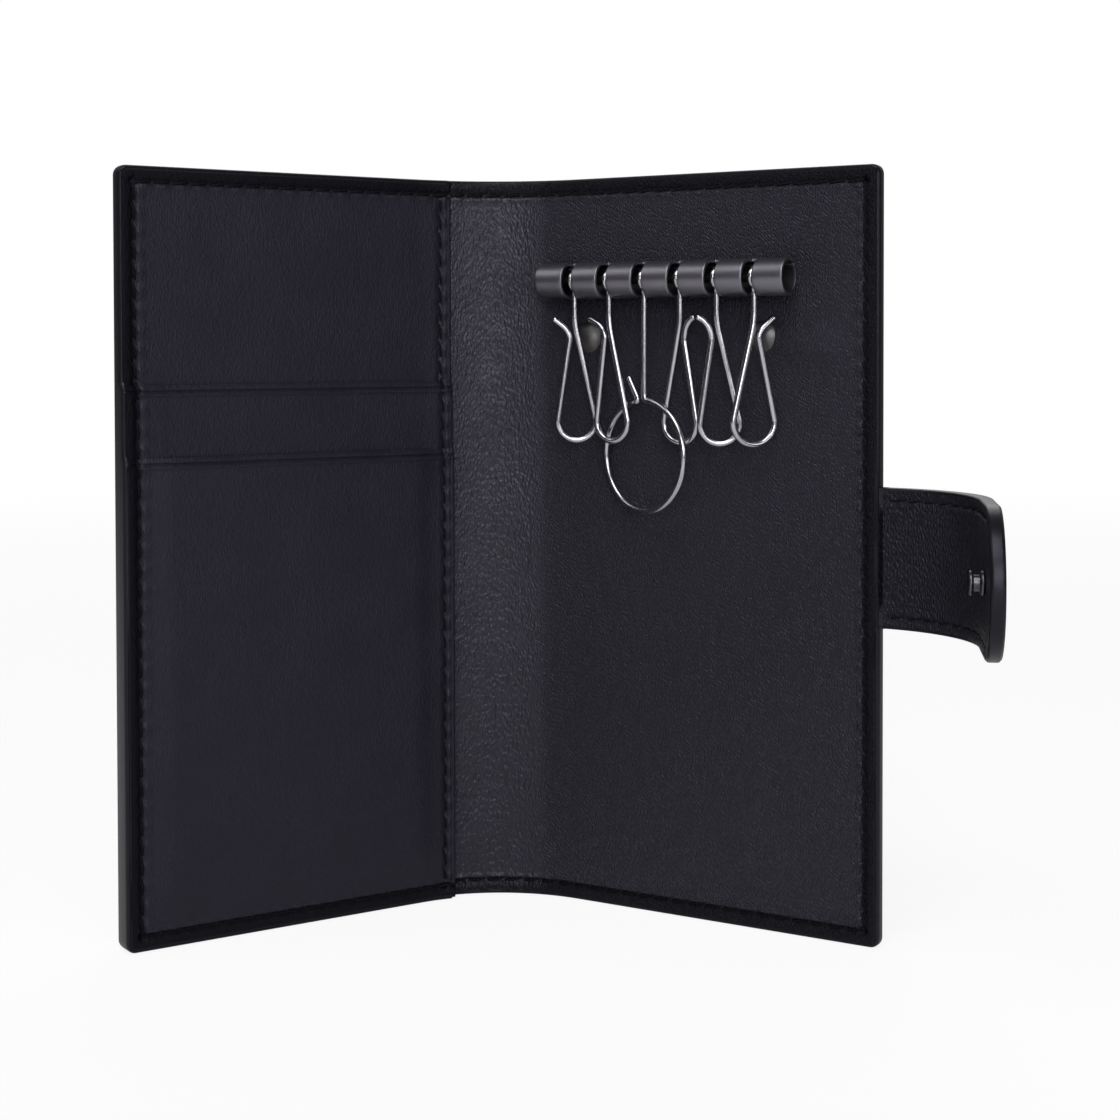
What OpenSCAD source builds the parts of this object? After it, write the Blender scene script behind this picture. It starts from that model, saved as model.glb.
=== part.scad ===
// Key case: two leather covers and a spine fold like a book round a rolled key rail.
// Frame: origin in the middle of the lower edge of the back cover's outer leather.
// The back cover's flat part lies along X, its inner face looks to -Y, and Z is up.
// Each cover is drawn about the centre of the spine's curve, and then put in its place.

/* [Case] */
// Height of the case
case_h = 120; // [90:1:160]
// Width of each cover, from its fold line round the curve to its fore-edge
cover_w = 60.6; // [48:0.2:90]
// Width of the spine between the two fold lines
spine_w = 12; // [9:0.5:18]
// Length of the curved part of the back cover beside its fold line
back_roll_w = 6.6; // [3:0.2:10]
// Length of the curved part of the front cover beside its fold line
front_roll_w = 8.9; // [3:0.2:11]
// Radius of the open case's curve, on the lining
fold_r = 24.3; // [18:0.1:40]
// Thickness of the outer leather
outer_t = 1; // [0.8:0.05:1.6]
// Thickness of the stiffening board
board_t = 0.6; // [0.4:0.05:0.9]
// Thickness of the lining over the board
lining_t = 0.8; // [0.6:0.05:1.2]
// Distance from the case's edges to the board
board_inset = 4; // [3:0.1:6]
// Radius of the corners at the fore-edges
corner_r = 1.5; // [0.5:0.1:4]
// Radius of the painted edges
edge_r = 0.6; // [0.2:0.05:0.7]
// Clearance at each fold line
fold_gap = 0.1; // [0.05:0.05:0.3]

/* [Card pockets] */
// Width of the card panel, from the fore-edge
panel_w = 57.8; // [50:0.2:60]
// Thickness of the card panel
panel_t = 0.5; // [0.4:0.05:0.8]
// Distance from the case's upper edge down to the rear card pocket's
rear_pocket_drop = 33.5; // [12:0.5:40]
// Distance between the two card pockets' upper edges
pocket_step = 11.1; // [6:0.1:14]
// Thickness of a pocket's leather
pocket_t = 0.7; // [0.5:0.05:1]
// Depth of the empty space in a pocket
pocket_gap = 0.3; // [0.2:0.05:0.6]
// Width of a pocket's sewn margins
pocket_seam = 3; // [2:0.1:5]

/* [Key rail] */
// Distance from the case's upper edge down to the rail's axis
rail_drop = 17; // [10:0.5:24]
// How far the rail reaches over the back cover's curve
rail_overhang = 3.75; // [0:0.05:4]
// Distance from the lining to the rail's axis
rail_off = 3.6; // [3.4:0.1:5]
// Outer diameter of the rolled rail
rail_d = 5.9; // [5.2:0.1:7]
// Thickness of the rail's sheet
sheet_t = 0.6; // [0.4:0.05:0.7]
// Distance between neighbouring hooks
hook_pitch = 6.5; // [6.4:0.1:8]
// Length of the rail beyond its first and last hooks
rail_end = 6; // [4:0.1:8]
// Width of each slot
slot_w = 1.8; // [1.5:0.1:2.4]
// Distance from the rail's axis down to the rivets
rivet_drop = 9.2; // [7:0.1:12]
// Distance between the rivets
rivet_pitch = 32; // [24:0.2:33]
// Diameter of a rivet's domed head
rivet_d = 5.1; // [3.5:0.1:6]
// Height of a rivet's domed head
rivet_h = 1; // [0.6:0.1:1.4]
// Diameter of a rivet's shank
shank_d = 1.6; // [1.2:0.1:2.2]
// Diameter of the rod inside the rail
rod_d = 1.5; // [1.2:0.1:1.7]

/* [Hooks] */
// Diameter of the hook wire
wire_d = 0.95; // [0.8:0.05:1.1]
// Distance from the rail's axis to a small hook's lowest centre line
hook_drop = 26; // [23:0.5:32]
// Distance from the rail's axis to the bend below a small hook's stem
stem_drop = 6.9; // [6:0.1:9]
// Distance from the rail's axis to the narrow place of a small hook
gate_drop = 9.3; // [8.4:0.1:11]
// Distance from the rail's axis up at a small hook's lip
lip_drop = 6.1; // [4.8:0.1:7]
// Centre line radius of the key ring hook
ring_r = 8.9; // [7:0.1:9]
// Distance from the rail's axis to the key ring
ring_drop = 19.4; // [17:0.1:24]
// Length of the key ring's tail
tail_l = 4.6; // [2:0.1:6]

/* [Strap] */
// Width of the strap
strap_w = 21.5; // [14:0.5:30]
// Distance from the middle of the case's height up to the strap's middle
strap_rise = 0; // [-12:0.5:12]
// Thickness of each of the strap's two leathers
strap_leather_t = 1; // [0.8:0.05:1.2]
// Length of the strap's curve, along its middle
strap_curve_l = 25.5; // [24:0.02:30]
// Centre line radius of the strap's curve
strap_r = 22; // [20:0.5:26]
// Length of the curve from the fore-edge to the strap's bend line
strap_root_l = 19.2; // [18:0.1:21]
// Length of the straight part of the strap before its round end
strap_straight_l = 10.7; // [7:0.1:20]
// Length of the strap sewn between the leathers
tongue_l = 9; // [6:0.5:14]

/* [Snap fastener] */
// Diameter of the stud
stud_d = 3.4; // [2.8:0.1:4.5]
// Height of the stud
stud_h = 2.3; // [2:0.1:2.5]
// Diameter of the socket
socket_d = 8.6; // [7:0.1:12]
// Height of the socket
socket_h = 1.6; // [1.4:0.1:2]
// Diameter of the washers in the leather
washer_d = 9; // [8:0.1:12]
// Thickness of the washers in the leather
washer_t = 0.4; // [0.3:0.05:0.5]

/* [Hidden] */
$fn = 96;

// Overrun of every cut past the faces that it leaves
over = 1;
// Clearance between pieces that lie in each other
fit = 0.1;

leather_colour = [0.13, 0.13, 0.15];
lining_colour = [0.17, 0.17, 0.2];
board_colour = [0.45, 0.4, 0.34];
steel_colour = [0.62, 0.62, 0.65];
gunmetal_colour = [0.36, 0.35, 0.38];

// The case in plan: radii are measured from the centre of the curve
case_t = outer_t + board_t + lining_t;
outer_in_r = fold_r + board_t + lining_t;
outer_out_r = fold_r + case_t;
hinge_r = fold_r + case_t / 2;
degrees_per_mm = 180 / PI / fold_r;
back_roll = back_roll_w * degrees_per_mm;
spine_turn = spine_w * degrees_per_mm;
front_roll = front_roll_w * degrees_per_mm;
turn = back_roll + spine_turn + front_roll;
back_flat = cover_w - back_roll_w;
front_flat = cover_w - front_roll_w;
panel_roll = (panel_w - front_flat) * degrees_per_mm;
rear_pocket_h = case_h - rear_pocket_drop;
front_pocket_h = rear_pocket_h - pocket_step;
// The centre of the curve in the part's frame
centre_x = -back_flat / 2;
centre_y = -outer_t / 2 - board_t - lining_t - fold_r;

// The closed case: both covers stand square to the line between the fold lines
closed_back = 90 - back_roll - spine_turn / 2;
closed_front = 90 - front_roll - spine_turn / 2;
flat_back = back_roll + spine_turn / 2;
flat_front = front_roll + spine_turn / 2;
fold_chord = 2 * hinge_r * sin(spine_turn / 2);
closed_pitch = fold_chord + hinge_r * (2 - cos(back_roll) - cos(front_roll));

// The strap: its curve starts outside the fore-edge, at the strap hinge
strap_t = 2 * strap_leather_t;
strap_y = -outer_t / 2 - board_t / 2;
stub_l = 1.2;
strap_x = back_flat / 2 + stub_l;
strap_z = case_h / 2 + strap_rise;
strap_centre_y = strap_y - strap_r;
strap_turn = strap_curve_l * 180 / PI / strap_r;
root_turn = strap_root_l * 180 / PI / strap_r;
tip_turn = strap_turn - root_turn;
strap_back_turn = 30;
bend_back_turn = 25;
socket_clear = 0.15;
// Distance from the strap's middle at its root to its middle on the closed front cover
strap_travel = strap_y - (centre_y + hinge_r - closed_pitch - case_t / 2 - socket_h - socket_clear
  - strap_t / 2);
closed_strap = asin((strap_travel / 2 / strap_r - pow(sin(tip_turn / 2), 2)) / sin(root_turn / 2))
  - root_turn / 2;
closed_bend = 180 - strap_turn - closed_strap;
closed_stud_x = strap_x - strap_straight_l + 2 * strap_r
  * (sin(root_turn / 2) * cos(closed_strap + root_turn / 2) - sin(tip_turn / 2) * cos(tip_turn / 2));
// The socket's distance along the flat front cover, from where its curve ends
socket_x = closed_stud_x - centre_x + hinge_r * (sin(back_roll) - sin(front_roll));

// The rail
hooks = 6;
lining_y = centre_y + fold_r;
rail_l = (hooks - 1) * hook_pitch + 2 * rail_end;
rail_x = rail_l / 2 - back_flat / 2 - rail_overhang;
rail_y = lining_y - rail_off;
rail_z = case_h - rail_drop;
plate_edge = 1.7;
plate_w = rivet_pitch + 2 * plate_edge;
plate_drop = rivet_drop + rivet_d / 2;
web_w = rail_l - 2 * rail_end + 2 * plate_edge;
seam_angle = 42;
slot_back = 1.2;
head_t = 1;
head_inset = 3;
eye_r = rod_d / 2 + wire_d / 2 + fit;
eye_sweep = 300;
knot_spare = 0.05;
function hook_x(i) = (i - (hooks - 1) / 2) * hook_pitch;

// Hand-bent hooks: half widths on the gate's and on the stem's side, and reach of the lip
hook_1_bend = [2.75, 3.45, 3.5];
hook_2_bend = [2.4, 3.6, 3.9];
hook_4_bend = [3.1, 3, 2.5];
hook_5_bend = [2.6, 3.63, 2.9];
hook_6_bend = [3.5, 3.5, 3.5];
// Their turns about the stem, and 1 where the gate is on the left, or -1 where it is on the right
hook_turn_angles = [29, -4, -17, -4, 29, 50];
gate_sides = [1, 1, 1, -1, 1, -1];
gate_offset = 0.8;
bend_r = 3.1;
ring_gap_angle = 8;
tail_lean_angle = 32;

// The snap fastener
stud_base_t = 0.75;
stud_neck_d = 2.3;
post_d = 1.8;
bore_clear = 0.5;
socket_tube_wall = 0.5;
socket_bore_d = stud_d + bore_clear;
socket_tube_d = socket_bore_d + 2 * socket_tube_wall;
socket_round = 0.4;
socket_floor_t = 0.2;

// Quarter-round cut of radius r for the corner at the origin, with its solid in the first quadrant
module corner_cut(r) {
  difference() {
    translate([-over, -over]) square(r + over);
    translate([r, r]) circle(r);
  }
}

// A layer between two radii, with a flat part along +X and a curved part of roll degrees.
// out_r and in_r round the fore-edge on the outside and on the inside.
module layer(r1, r2, flat, roll, h, out_r = 0, in_r = 0) {
  linear_extrude(h) difference() {
    translate([0, r1]) square([flat, r2 - r1]);
    if (out_r > 0) translate([flat, r2]) rotate(180) corner_cut(out_r);
    if (in_r > 0) translate([flat, r1]) rotate(90) corner_cut(in_r);
  }
  if (roll > 0) rotate([0, 0, 90]) rotate_extrude(angle = roll) translate([r1, 0])
    square([r2 - r1, h]);
}

// Cuts the fore-edge's upper and lower corners round
module corners(flat, h, depth) {
  for (top = [0, 1])
    translate([flat, outer_out_r + over, top * h]) mirror([0, 0, top]) rotate([90, 0, 0])
      linear_extrude(depth) rotate(90) corner_cut(corner_r);
}

// Wedge-shaped cut at a fold, with its point on the fold's axis at the origin: it takes what lies
// on the -X side of the axis and what is within the given angles of it on the inner (-Y) side and
// on the outer side
module fold_cut(inner, outer, h, reach) {
  translate([0, 0, -over]) linear_extrude(h + 2 * over) polygon([
    [-reach, -reach], [reach * tan(inner) + fold_gap / 2, -reach], [fold_gap / 2, 0],
    [reach * tan(outer) + fold_gap / 2, reach], [-reach, reach]]);
}

// Half the angle of each fold's wedge, with a degree to spare
spare_angle = 1;
back_in = closed_back / 2 + spare_angle;
back_out = flat_back / 2 + spare_angle;
front_in = closed_front / 2 + spare_angle;
front_out = flat_front / 2 + spare_angle;
strap_in = closed_strap / 2 + spare_angle;
strap_out = strap_back_turn / 2 + spare_angle;
bend_in = closed_bend / 2 + spare_angle;
bend_out = bend_back_turn / 2 + spare_angle;
fold_reach = 2 * case_t;

// Cuts a cover at its fold line
module cover_fold(roll, inner, outer) {
  rotate([0, 0, roll]) translate([0, hinge_r, 0]) fold_cut(inner, outer, case_h, fold_reach);
}

module to_back() {
  translate([centre_x, centre_y, 0]) children();
}

module to_front() {
  translate([centre_x, centre_y, 0]) rotate([0, 0, turn]) mirror([1, 0, 0]) children();
}

module cover_layer(r1, r2, flat, roll, inner, outer, out_r, in_r) {
  difference() {
    layer(r1, r2, flat, roll, case_h, out_r, in_r);
    corners(flat, case_h, outer_out_r - fold_r + 2 * over);
    cover_fold(roll, inner, outer);
  }
}

// The space for the board, which is also the board's outline
module board_space(flat, t, spare) {
  translate([spare, outer_in_r - board_t, board_inset + spare])
    cube([flat - board_inset - 2 * spare, t, case_h - 2 * (board_inset + spare)]);
}

// The space for the strap's sewn end, over the strap's width
module tongue_space(spare) {
  translate([back_flat - tongue_l - spare, outer_in_r - board_t, strap_z - strap_w / 2 - spare])
    cube([tongue_l + spare + over, board_t, strap_w + 2 * spare]);
}

// A hole square to a cover, from radius r1 to radius r2
module cover_hole(x, z, d, r1, r2) {
  translate([x, r1, z]) rotate([-90, 0, 0]) cylinder(h = r2 - r1, d = d);
}

module back_outer_leather() {
  color(leather_colour) to_back()
    cover_layer(outer_in_r, outer_out_r, back_flat, back_roll, back_in, back_out, edge_r, 0);
}

module rail_plate_space(spare) {
  translate([rail_x - centre_x - plate_w / 2 - spare, outer_in_r - board_t - over,
    rail_z - plate_drop - spare])
    cube([plate_w + 2 * spare, board_t + 2 * over, plate_drop + rail_d / 2 + 2 * spare]);
}

module back_board() {
  color(board_colour) to_back() difference() {
    board_space(back_flat, board_t, fit);
    rail_plate_space(fit);
    tongue_space(fit);
  }
}

module back_lining() {
  color(lining_colour) to_back() difference() {
    cover_layer(fold_r, outer_in_r, back_flat, back_roll, back_in, back_out, 0, edge_r);
    board_space(back_flat, board_t + over, 0);
    tongue_space(0);
    translate([rail_x - centre_x - web_w / 2 - fit, fold_r - over, rail_z + rail_d / 2 - sheet_t - fit])
      cube([web_w + 2 * fit, lining_t + 2 * over, sheet_t + 2 * fit]);
    for (side = [-1, 1])
      cover_hole(rail_x - centre_x + side * rivet_pitch / 2, rail_z - rivet_drop, shank_d + fit,
        fold_r - over, outer_in_r);
  }
}

// A spine layer, cut at both of its fold lines
module spine_layer(r1, r2) {
  to_back() difference() {
    rotate([0, 0, 90 + back_roll]) rotate_extrude(angle = spine_turn) translate([r1, 0])
      square([r2 - r1, case_h]);
    rotate([0, 0, back_roll]) translate([0, hinge_r, 0]) mirror([1, 0, 0])
      fold_cut(back_in, back_out, case_h, fold_reach);
    rotate([0, 0, back_roll + spine_turn]) translate([0, hinge_r, 0])
      fold_cut(front_in, front_out, case_h, fold_reach);
  }
}

module spine_outer_leather() {
  color(leather_colour) spine_layer(outer_in_r, outer_out_r);
}

module spine_lining() {
  color(lining_colour) spine_layer(fold_r, outer_in_r);
}

module front_outer_leather() {
  color(leather_colour) to_front() difference() {
    cover_layer(outer_in_r, outer_out_r, front_flat, front_roll, front_in, front_out, edge_r, 0);
    cover_hole(socket_x, strap_z, socket_tube_d + fit, outer_in_r - over, outer_out_r + over);
  }
}

module front_board() {
  color(board_colour) to_front() difference() {
    board_space(front_flat, board_t, fit);
    cover_hole(socket_x, strap_z, washer_d + 2 * fit, outer_in_r - board_t - over,
      outer_in_r + over);
  }
}

module front_lining() {
  color(lining_colour) to_front() difference() {
    cover_layer(fold_r, outer_in_r, front_flat, front_roll, front_in, front_out, 0, 0);
    board_space(front_flat, board_t + over, 0);
  }
}

module card_panel() {
  color(leather_colour) to_front() difference() {
    layer(fold_r - panel_t, fold_r, front_flat, panel_roll, case_h, 0, panel_t / 2);
    corners(front_flat, case_h, outer_out_r - fold_r + panel_t + 2 * over);
  }
}

// A card pocket on radius r: leather on three sewn margins, with an empty space that is open at the
// top
module card_pocket(r, h) {
  depth = pocket_t + pocket_gap;
  seam_turn = pocket_seam * degrees_per_mm;
  to_front() difference() {
    layer(r - depth, r, front_flat, panel_roll, h, 0, panel_t / 2);
    translate([front_flat, r + over, 0]) rotate([90, 0, 0]) linear_extrude(depth + 2 * over)
      rotate(90) corner_cut(corner_r);
    translate([0, 0, pocket_seam])
      layer(r - pocket_gap, r + over, front_flat - pocket_seam, panel_roll - seam_turn, h);
  }
}

module rear_card_pocket() {
  color(leather_colour) card_pocket(fold_r - panel_t, rear_pocket_h);
}

module front_card_pocket() {
  color(leather_colour) card_pocket(fold_r - panel_t - pocket_t - pocket_gap, front_pocket_h);
}

// The rail's section: a plate, a web through the lining and a roll that ends in an open seam
module rail_section() {
  difference() {
    circle(d = rail_d);
    circle(d = rail_d - 2 * sheet_t);
    polygon([[0, 0], [(rail_d / 2 - sheet_t) * tan(seam_angle), rail_d / 2 - sheet_t],
      [0, rail_d / 2 - sheet_t]]);
  }
}

module rail_slots() {
  for (i = [0 : hooks - 1])
    translate([hook_x(i) - slot_w / 2, -rail_d, -rail_d])
      cube([slot_w, rail_d + slot_back, 2 * rail_d]);
}

module key_rail() {
  plate_y = rail_off + lining_t;
  color(gunmetal_colour) translate([rail_x, rail_y, rail_z]) difference() {
    union() {
      translate([-rail_l / 2, 0, 0]) rotate([90, 0, 90]) linear_extrude(rail_l) rail_section();
      translate([-web_w / 2, 0, rail_d / 2 - sheet_t])
        cube([web_w, plate_y + board_t, sheet_t]);
      translate([-plate_w / 2, plate_y, -plate_drop])
        cube([plate_w, board_t, plate_drop + rail_d / 2]);
    }
    rail_slots();
    for (side = [-1, 1])
      translate([side * rivet_pitch / 2, plate_y - over, -rivet_drop]) rotate([-90, 0, 0])
        cylinder(h = board_t + 2 * over, d = shank_d + fit);
  }
}

module rail_rod() {
  rod_l = rail_l - 2 * head_inset;
  color(steel_colour) translate([rail_x - rod_l / 2, rail_y, rail_z]) rotate([0, 90, 0]) {
    cylinder(h = rod_l, d = rod_d);
    for (end = [0, rod_l - head_t])
      translate([0, 0, end]) cylinder(h = head_t, d = rail_d - 2 * sheet_t - fit / 2);
  }
}

module rail_rivet() {
  dome_r = (pow(rivet_d / 2, 2) + pow(rivet_h, 2)) / 2 / rivet_h;
  cylinder(h = lining_t + board_t, d = shank_d);
  intersection() {
    translate([0, 0, dome_r - rivet_h]) sphere(dome_r);
    translate([0, 0, -rivet_h]) cylinder(h = rivet_h, d = rivet_d);
  }
}

module rail_rivets() {
  color(steel_colour)
    for (side = [-1, 1])
      translate([rail_x + side * rivet_pitch / 2, lining_y, rail_z - rivet_drop])
        rotate([-90, 0, 0]) rail_rivet();
}

// Straight wire between two points of the hook's plane, where Y is down from the rail's axis
module wire_line(a, b) {
  v = b - a;
  translate([a[0], 0, -a[1]]) rotate([0, atan2(v[0], -v[1]), 0]) cylinder(h = norm(v), d = wire_d);
}

// Wire on an arc about c, from angle a0 over sweep degrees, where 0 is +X and 90 is up
module wire_arc(c, r, a0, sweep) {
  translate([c[0], 0, -c[1]]) rotate([90, 0, 0]) rotate([0, 0, sweep < 0 ? a0 + sweep : a0])
    rotate_extrude(angle = abs(sweep)) translate([r, 0]) circle(d = wire_d);
}

// Round knot where two stretches of wire meet, and a wire's round end
module wire_knot(p) {
  translate([p[0], 0, -p[1]]) sphere(d = wire_d + knot_spare);
}

// The eye about the rod, open at its back, and the stem that leaves it downwards
module hook_eye() {
  rotate([90, 0, 90]) rotate([0, 0, -90 - eye_sweep]) rotate_extrude(angle = eye_sweep)
    translate([eye_r, 0]) circle(d = wire_d);
}

// A small hook in its own plane: stem, slanting side, round bottom, gate side and bent-out lip
module small_hook(bend, side) {
  bottom_r = (bend[0] + bend[1]) / 2;
  bottom_c = [(bend[1] - bend[0]) / 2, hook_drop - bottom_r];
  stem_end = [0, stem_drop];
  to_stem = bottom_c - stem_end;
  stem_lean = asin(bottom_r / norm(to_stem)) + atan2(to_stem[0], to_stem[1]);
  stem_touch = bottom_c + bottom_r * [cos(stem_lean), -sin(stem_lean)];
  gate_end = [-gate_offset, gate_drop];
  to_gate = bottom_c - gate_end;
  gate_lean = asin(bottom_r / norm(to_gate)) - atan2(to_gate[0], to_gate[1]);
  gate_touch = bottom_c + bottom_r * [-cos(gate_lean), -sin(gate_lean)];
  // The lip turns out on a circle that the gate side's wire touches
  lip_end = [-bend[2], lip_drop];
  lip_c = gate_end - bend_r * [cos(gate_lean), -sin(gate_lean)];
  lip_reach = norm(lip_end - lip_c);
  lip_lean = acos(bend_r / lip_reach);
  lip_angle = atan2(lip_c[1] - lip_end[1], lip_end[0] - lip_c[0]) - lip_lean;
  lip_touch = lip_c + bend_r * [cos(lip_angle), -sin(lip_angle)];
  mirror([side < 0 ? 1 : 0, 0, 0]) {
    for (p = [[0, eye_r], stem_end, stem_touch, gate_touch, gate_end, lip_touch, lip_end])
      wire_knot(p);
    wire_line([0, eye_r], stem_end);
    wire_line(stem_end, stem_touch);
    wire_arc(bottom_c, bottom_r, stem_lean, -180 - stem_lean - gate_lean);
    wire_line(gate_touch, gate_end);
    wire_arc(lip_c, bend_r, gate_lean, lip_angle - gate_lean);
    wire_line(lip_touch, lip_end);
  }
}

// The key ring hook: a straight stem, a ring that stops beside it and a short tail
module ring_hook() {
  c = [0, ring_drop + ring_r];
  ring_end = c + ring_r * [-sin(ring_gap_angle), -cos(ring_gap_angle)];
  tail_end = ring_end + tail_l * [-sin(tail_lean_angle), -cos(tail_lean_angle)];
  for (p = [[0, eye_r], [0, ring_drop], ring_end, tail_end])
    wire_knot(p);
  wire_line([0, eye_r], [0, ring_drop]);
  wire_arc(c, ring_r, 90, -(360 - ring_gap_angle));
  wire_line(ring_end, tail_end);
}

// Puts a hook in slot i, turned about its stem
module at_slot(i) {
  color(steel_colour) translate([rail_x + hook_x(i), rail_y, rail_z]) {
    hook_eye();
    rotate([0, 0, hook_turn_angles[i]]) children();
  }
}

module hook_1() {
  at_slot(0) small_hook(hook_1_bend, gate_sides[0]);
}

module hook_2() {
  at_slot(1) small_hook(hook_2_bend, gate_sides[1]);
}

module hook_3() {
  at_slot(2) ring_hook();
}

module hook_4() {
  at_slot(3) small_hook(hook_4_bend, gate_sides[3]);
}

module hook_5() {
  at_slot(4) small_hook(hook_5_bend, gate_sides[4]);
}

module hook_6() {
  at_slot(5) small_hook(hook_6_bend, gate_sides[5]);
}

// The strap about the centre of its curve, with its root at the top and its tip to the right
module to_strap() {
  translate([strap_x, strap_centre_y, strap_z - strap_w / 2]) children();
}

module strap_arc(r1, r2, from, sweep) {
  rotate([0, 0, 90 - from - sweep]) rotate_extrude(angle = sweep) translate([r1, 0])
    square([r2 - r1, strap_w]);
}

// Cuts the strap at an angle of its curve, on the side before it (-1) or after it (1)
module strap_fold(at, side, inner, outer) {
  rotate([0, 0, -at]) translate([0, strap_r, 0]) mirror([side > 0 ? 1 : 0, 0, 0])
    fold_cut(inner, outer, strap_w, fold_reach);
}

module strap_tongue() {
  color(leather_colour) difference() {
    union() {
      translate([back_flat / 2 - tongue_l, -outer_t / 2 - board_t, strap_z - strap_w / 2])
        cube([tongue_l, board_t, strap_w]);
      translate([back_flat / 2, strap_y - strap_t / 2, strap_z - strap_w / 2])
        cube([stub_l, strap_t, strap_w]);
    }
    to_strap() strap_fold(0, 1, strap_in, strap_out);
  }
}

module strap_root(r1, r2) {
  to_strap() difference() {
    strap_arc(r1, r2, 0, root_turn);
    strap_fold(0, -1, strap_in, strap_out);
    strap_fold(root_turn, 1, bend_in, bend_out);
  }
}

// The curved and the straight part of the tip, with its round end
module strap_tip(r1, r2) {
  difference() {
    union() {
      strap_arc(r1, r2, root_turn, tip_turn);
      rotate([0, 0, -strap_turn]) {
        translate([0, r1, 0]) cube([strap_straight_l, r2 - r1, strap_w]);
        translate([strap_straight_l, r1, strap_w / 2]) rotate([-90, 0, 0])
          cylinder(h = r2 - r1, d = strap_w);
      }
    }
    strap_fold(root_turn, -1, bend_in, bend_out);
  }
}

// Puts what is drawn along +Z in the middle of the tip's round end, pointing inwards from radius r
module at_stud(r) {
  to_strap() rotate([0, 0, -strap_turn]) translate([strap_straight_l, r, strap_w / 2])
    rotate([90, 0, 0]) children();
}

module strap_root_outer() {
  color(leather_colour) strap_root(strap_r, strap_r + strap_t / 2);
}

module strap_root_lining() {
  color(lining_colour) strap_root(strap_r - strap_t / 2, strap_r);
}

module strap_tip_outer() {
  color(leather_colour) to_strap() strap_tip(strap_r, strap_r + strap_t / 2);
}

module strap_tip_lining() {
  color(lining_colour) difference() {
    to_strap() strap_tip(strap_r - strap_t / 2, strap_r);
    at_stud(strap_r + over) cylinder(h = washer_t + over, d = washer_d + fit);
    at_stud(strap_r) cylinder(h = strap_t, d = post_d + fit);
  }
}

// The stud: two flanges with a neck between them, on a post through the lining
module snap_stud() {
  color(steel_colour) at_stud(strap_r - washer_t) {
    cylinder(h = strap_leather_t - washer_t, d = post_d);
    translate([0, 0, strap_leather_t - washer_t]) {
      cylinder(h = stud_base_t, d = stud_d);
      cylinder(h = stud_h - stud_base_t, d = stud_neck_d);
      translate([0, 0, stud_h - stud_base_t]) rotate_extrude() intersection() {
        square([stud_d / 2, stud_base_t]);
        union() {
          square([stud_d / 2, stud_base_t / 2]);
          square([stud_d / 2 - stud_base_t / 2, stud_base_t]);
          translate([stud_d / 2 - stud_base_t / 2, stud_base_t / 2]) circle(d = stud_base_t);
        }
      }
    }
  }
}

module stud_washer() {
  color(steel_colour) at_stud(strap_r) cylinder(h = washer_t, d = washer_d);
}

// Puts what is drawn along +Z on the front cover at the socket's place, pointing out from radius r
module at_socket(r) {
  to_front() translate([socket_x, r, strap_z]) rotate([-90, 0, 0]) children();
}

// The socket: a rounded ring on the leather, with a tube down to the washer under it
module snap_socket() {
  color(steel_colour) at_socket(outer_out_r) difference() {
    union() {
      rotate_extrude() {
        square([socket_d / 2 - socket_round, socket_h]);
        square([socket_d / 2, socket_h - socket_round]);
        translate([socket_d / 2 - socket_round, socket_h - socket_round]) circle(socket_round);
      }
      translate([0, 0, -outer_t - washer_t]) cylinder(h = outer_t + washer_t, d = socket_tube_d);
    }
    translate([0, 0, socket_floor_t - outer_t - washer_t])
      cylinder(h = outer_t + washer_t + socket_h, d = socket_bore_d);
  }
}

module socket_washer() {
  color(steel_colour) at_socket(outer_in_r - washer_t) difference() {
    cylinder(h = washer_t, d = washer_d);
    translate([0, 0, -over]) cylinder(h = washer_t + 2 * over, d = socket_tube_d + fit);
  }
}

// The joints' angles and places, for the record
echo(closed_back = closed_back, closed_front = closed_front, flat_back = flat_back,
  flat_front = flat_front, closed_strap = closed_strap, closed_bend = closed_bend);
echo(back_hinge = [centre_x - hinge_r * sin(back_roll), centre_y + hinge_r * cos(back_roll)],
  front_hinge = [centre_x - hinge_r * sin(back_roll + spine_turn),
    centre_y + hinge_r * cos(back_roll + spine_turn)],
  strap_hinge = [strap_x, strap_y],
  bend_hinge = [strap_x + strap_r * sin(root_turn), strap_centre_y + strap_r * cos(root_turn)],
  rail_axis = [rail_x, rail_y, rail_z]);

back_outer_leather();
back_board();
back_lining();
spine_outer_leather();
spine_lining();
front_outer_leather();
front_board();
front_lining();
card_panel();
rear_card_pocket();
front_card_pocket();
key_rail();
rail_rod();
rail_rivets();
hook_1();
hook_2();
hook_3();
hook_4();
hook_5();
hook_6();
strap_tongue();
strap_root_outer();
strap_root_lining();
strap_tip_outer();
strap_tip_lining();
snap_stud();
stud_washer();
snap_socket();
socket_washer();
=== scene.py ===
"""Dresses the key case: leather, edge paint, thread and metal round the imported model.

All lengths are in metres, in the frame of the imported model. The covers and the strap are strips:
a place on one is given by the distance along it, the distance from the centre of its curve and
the height.
"""

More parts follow.
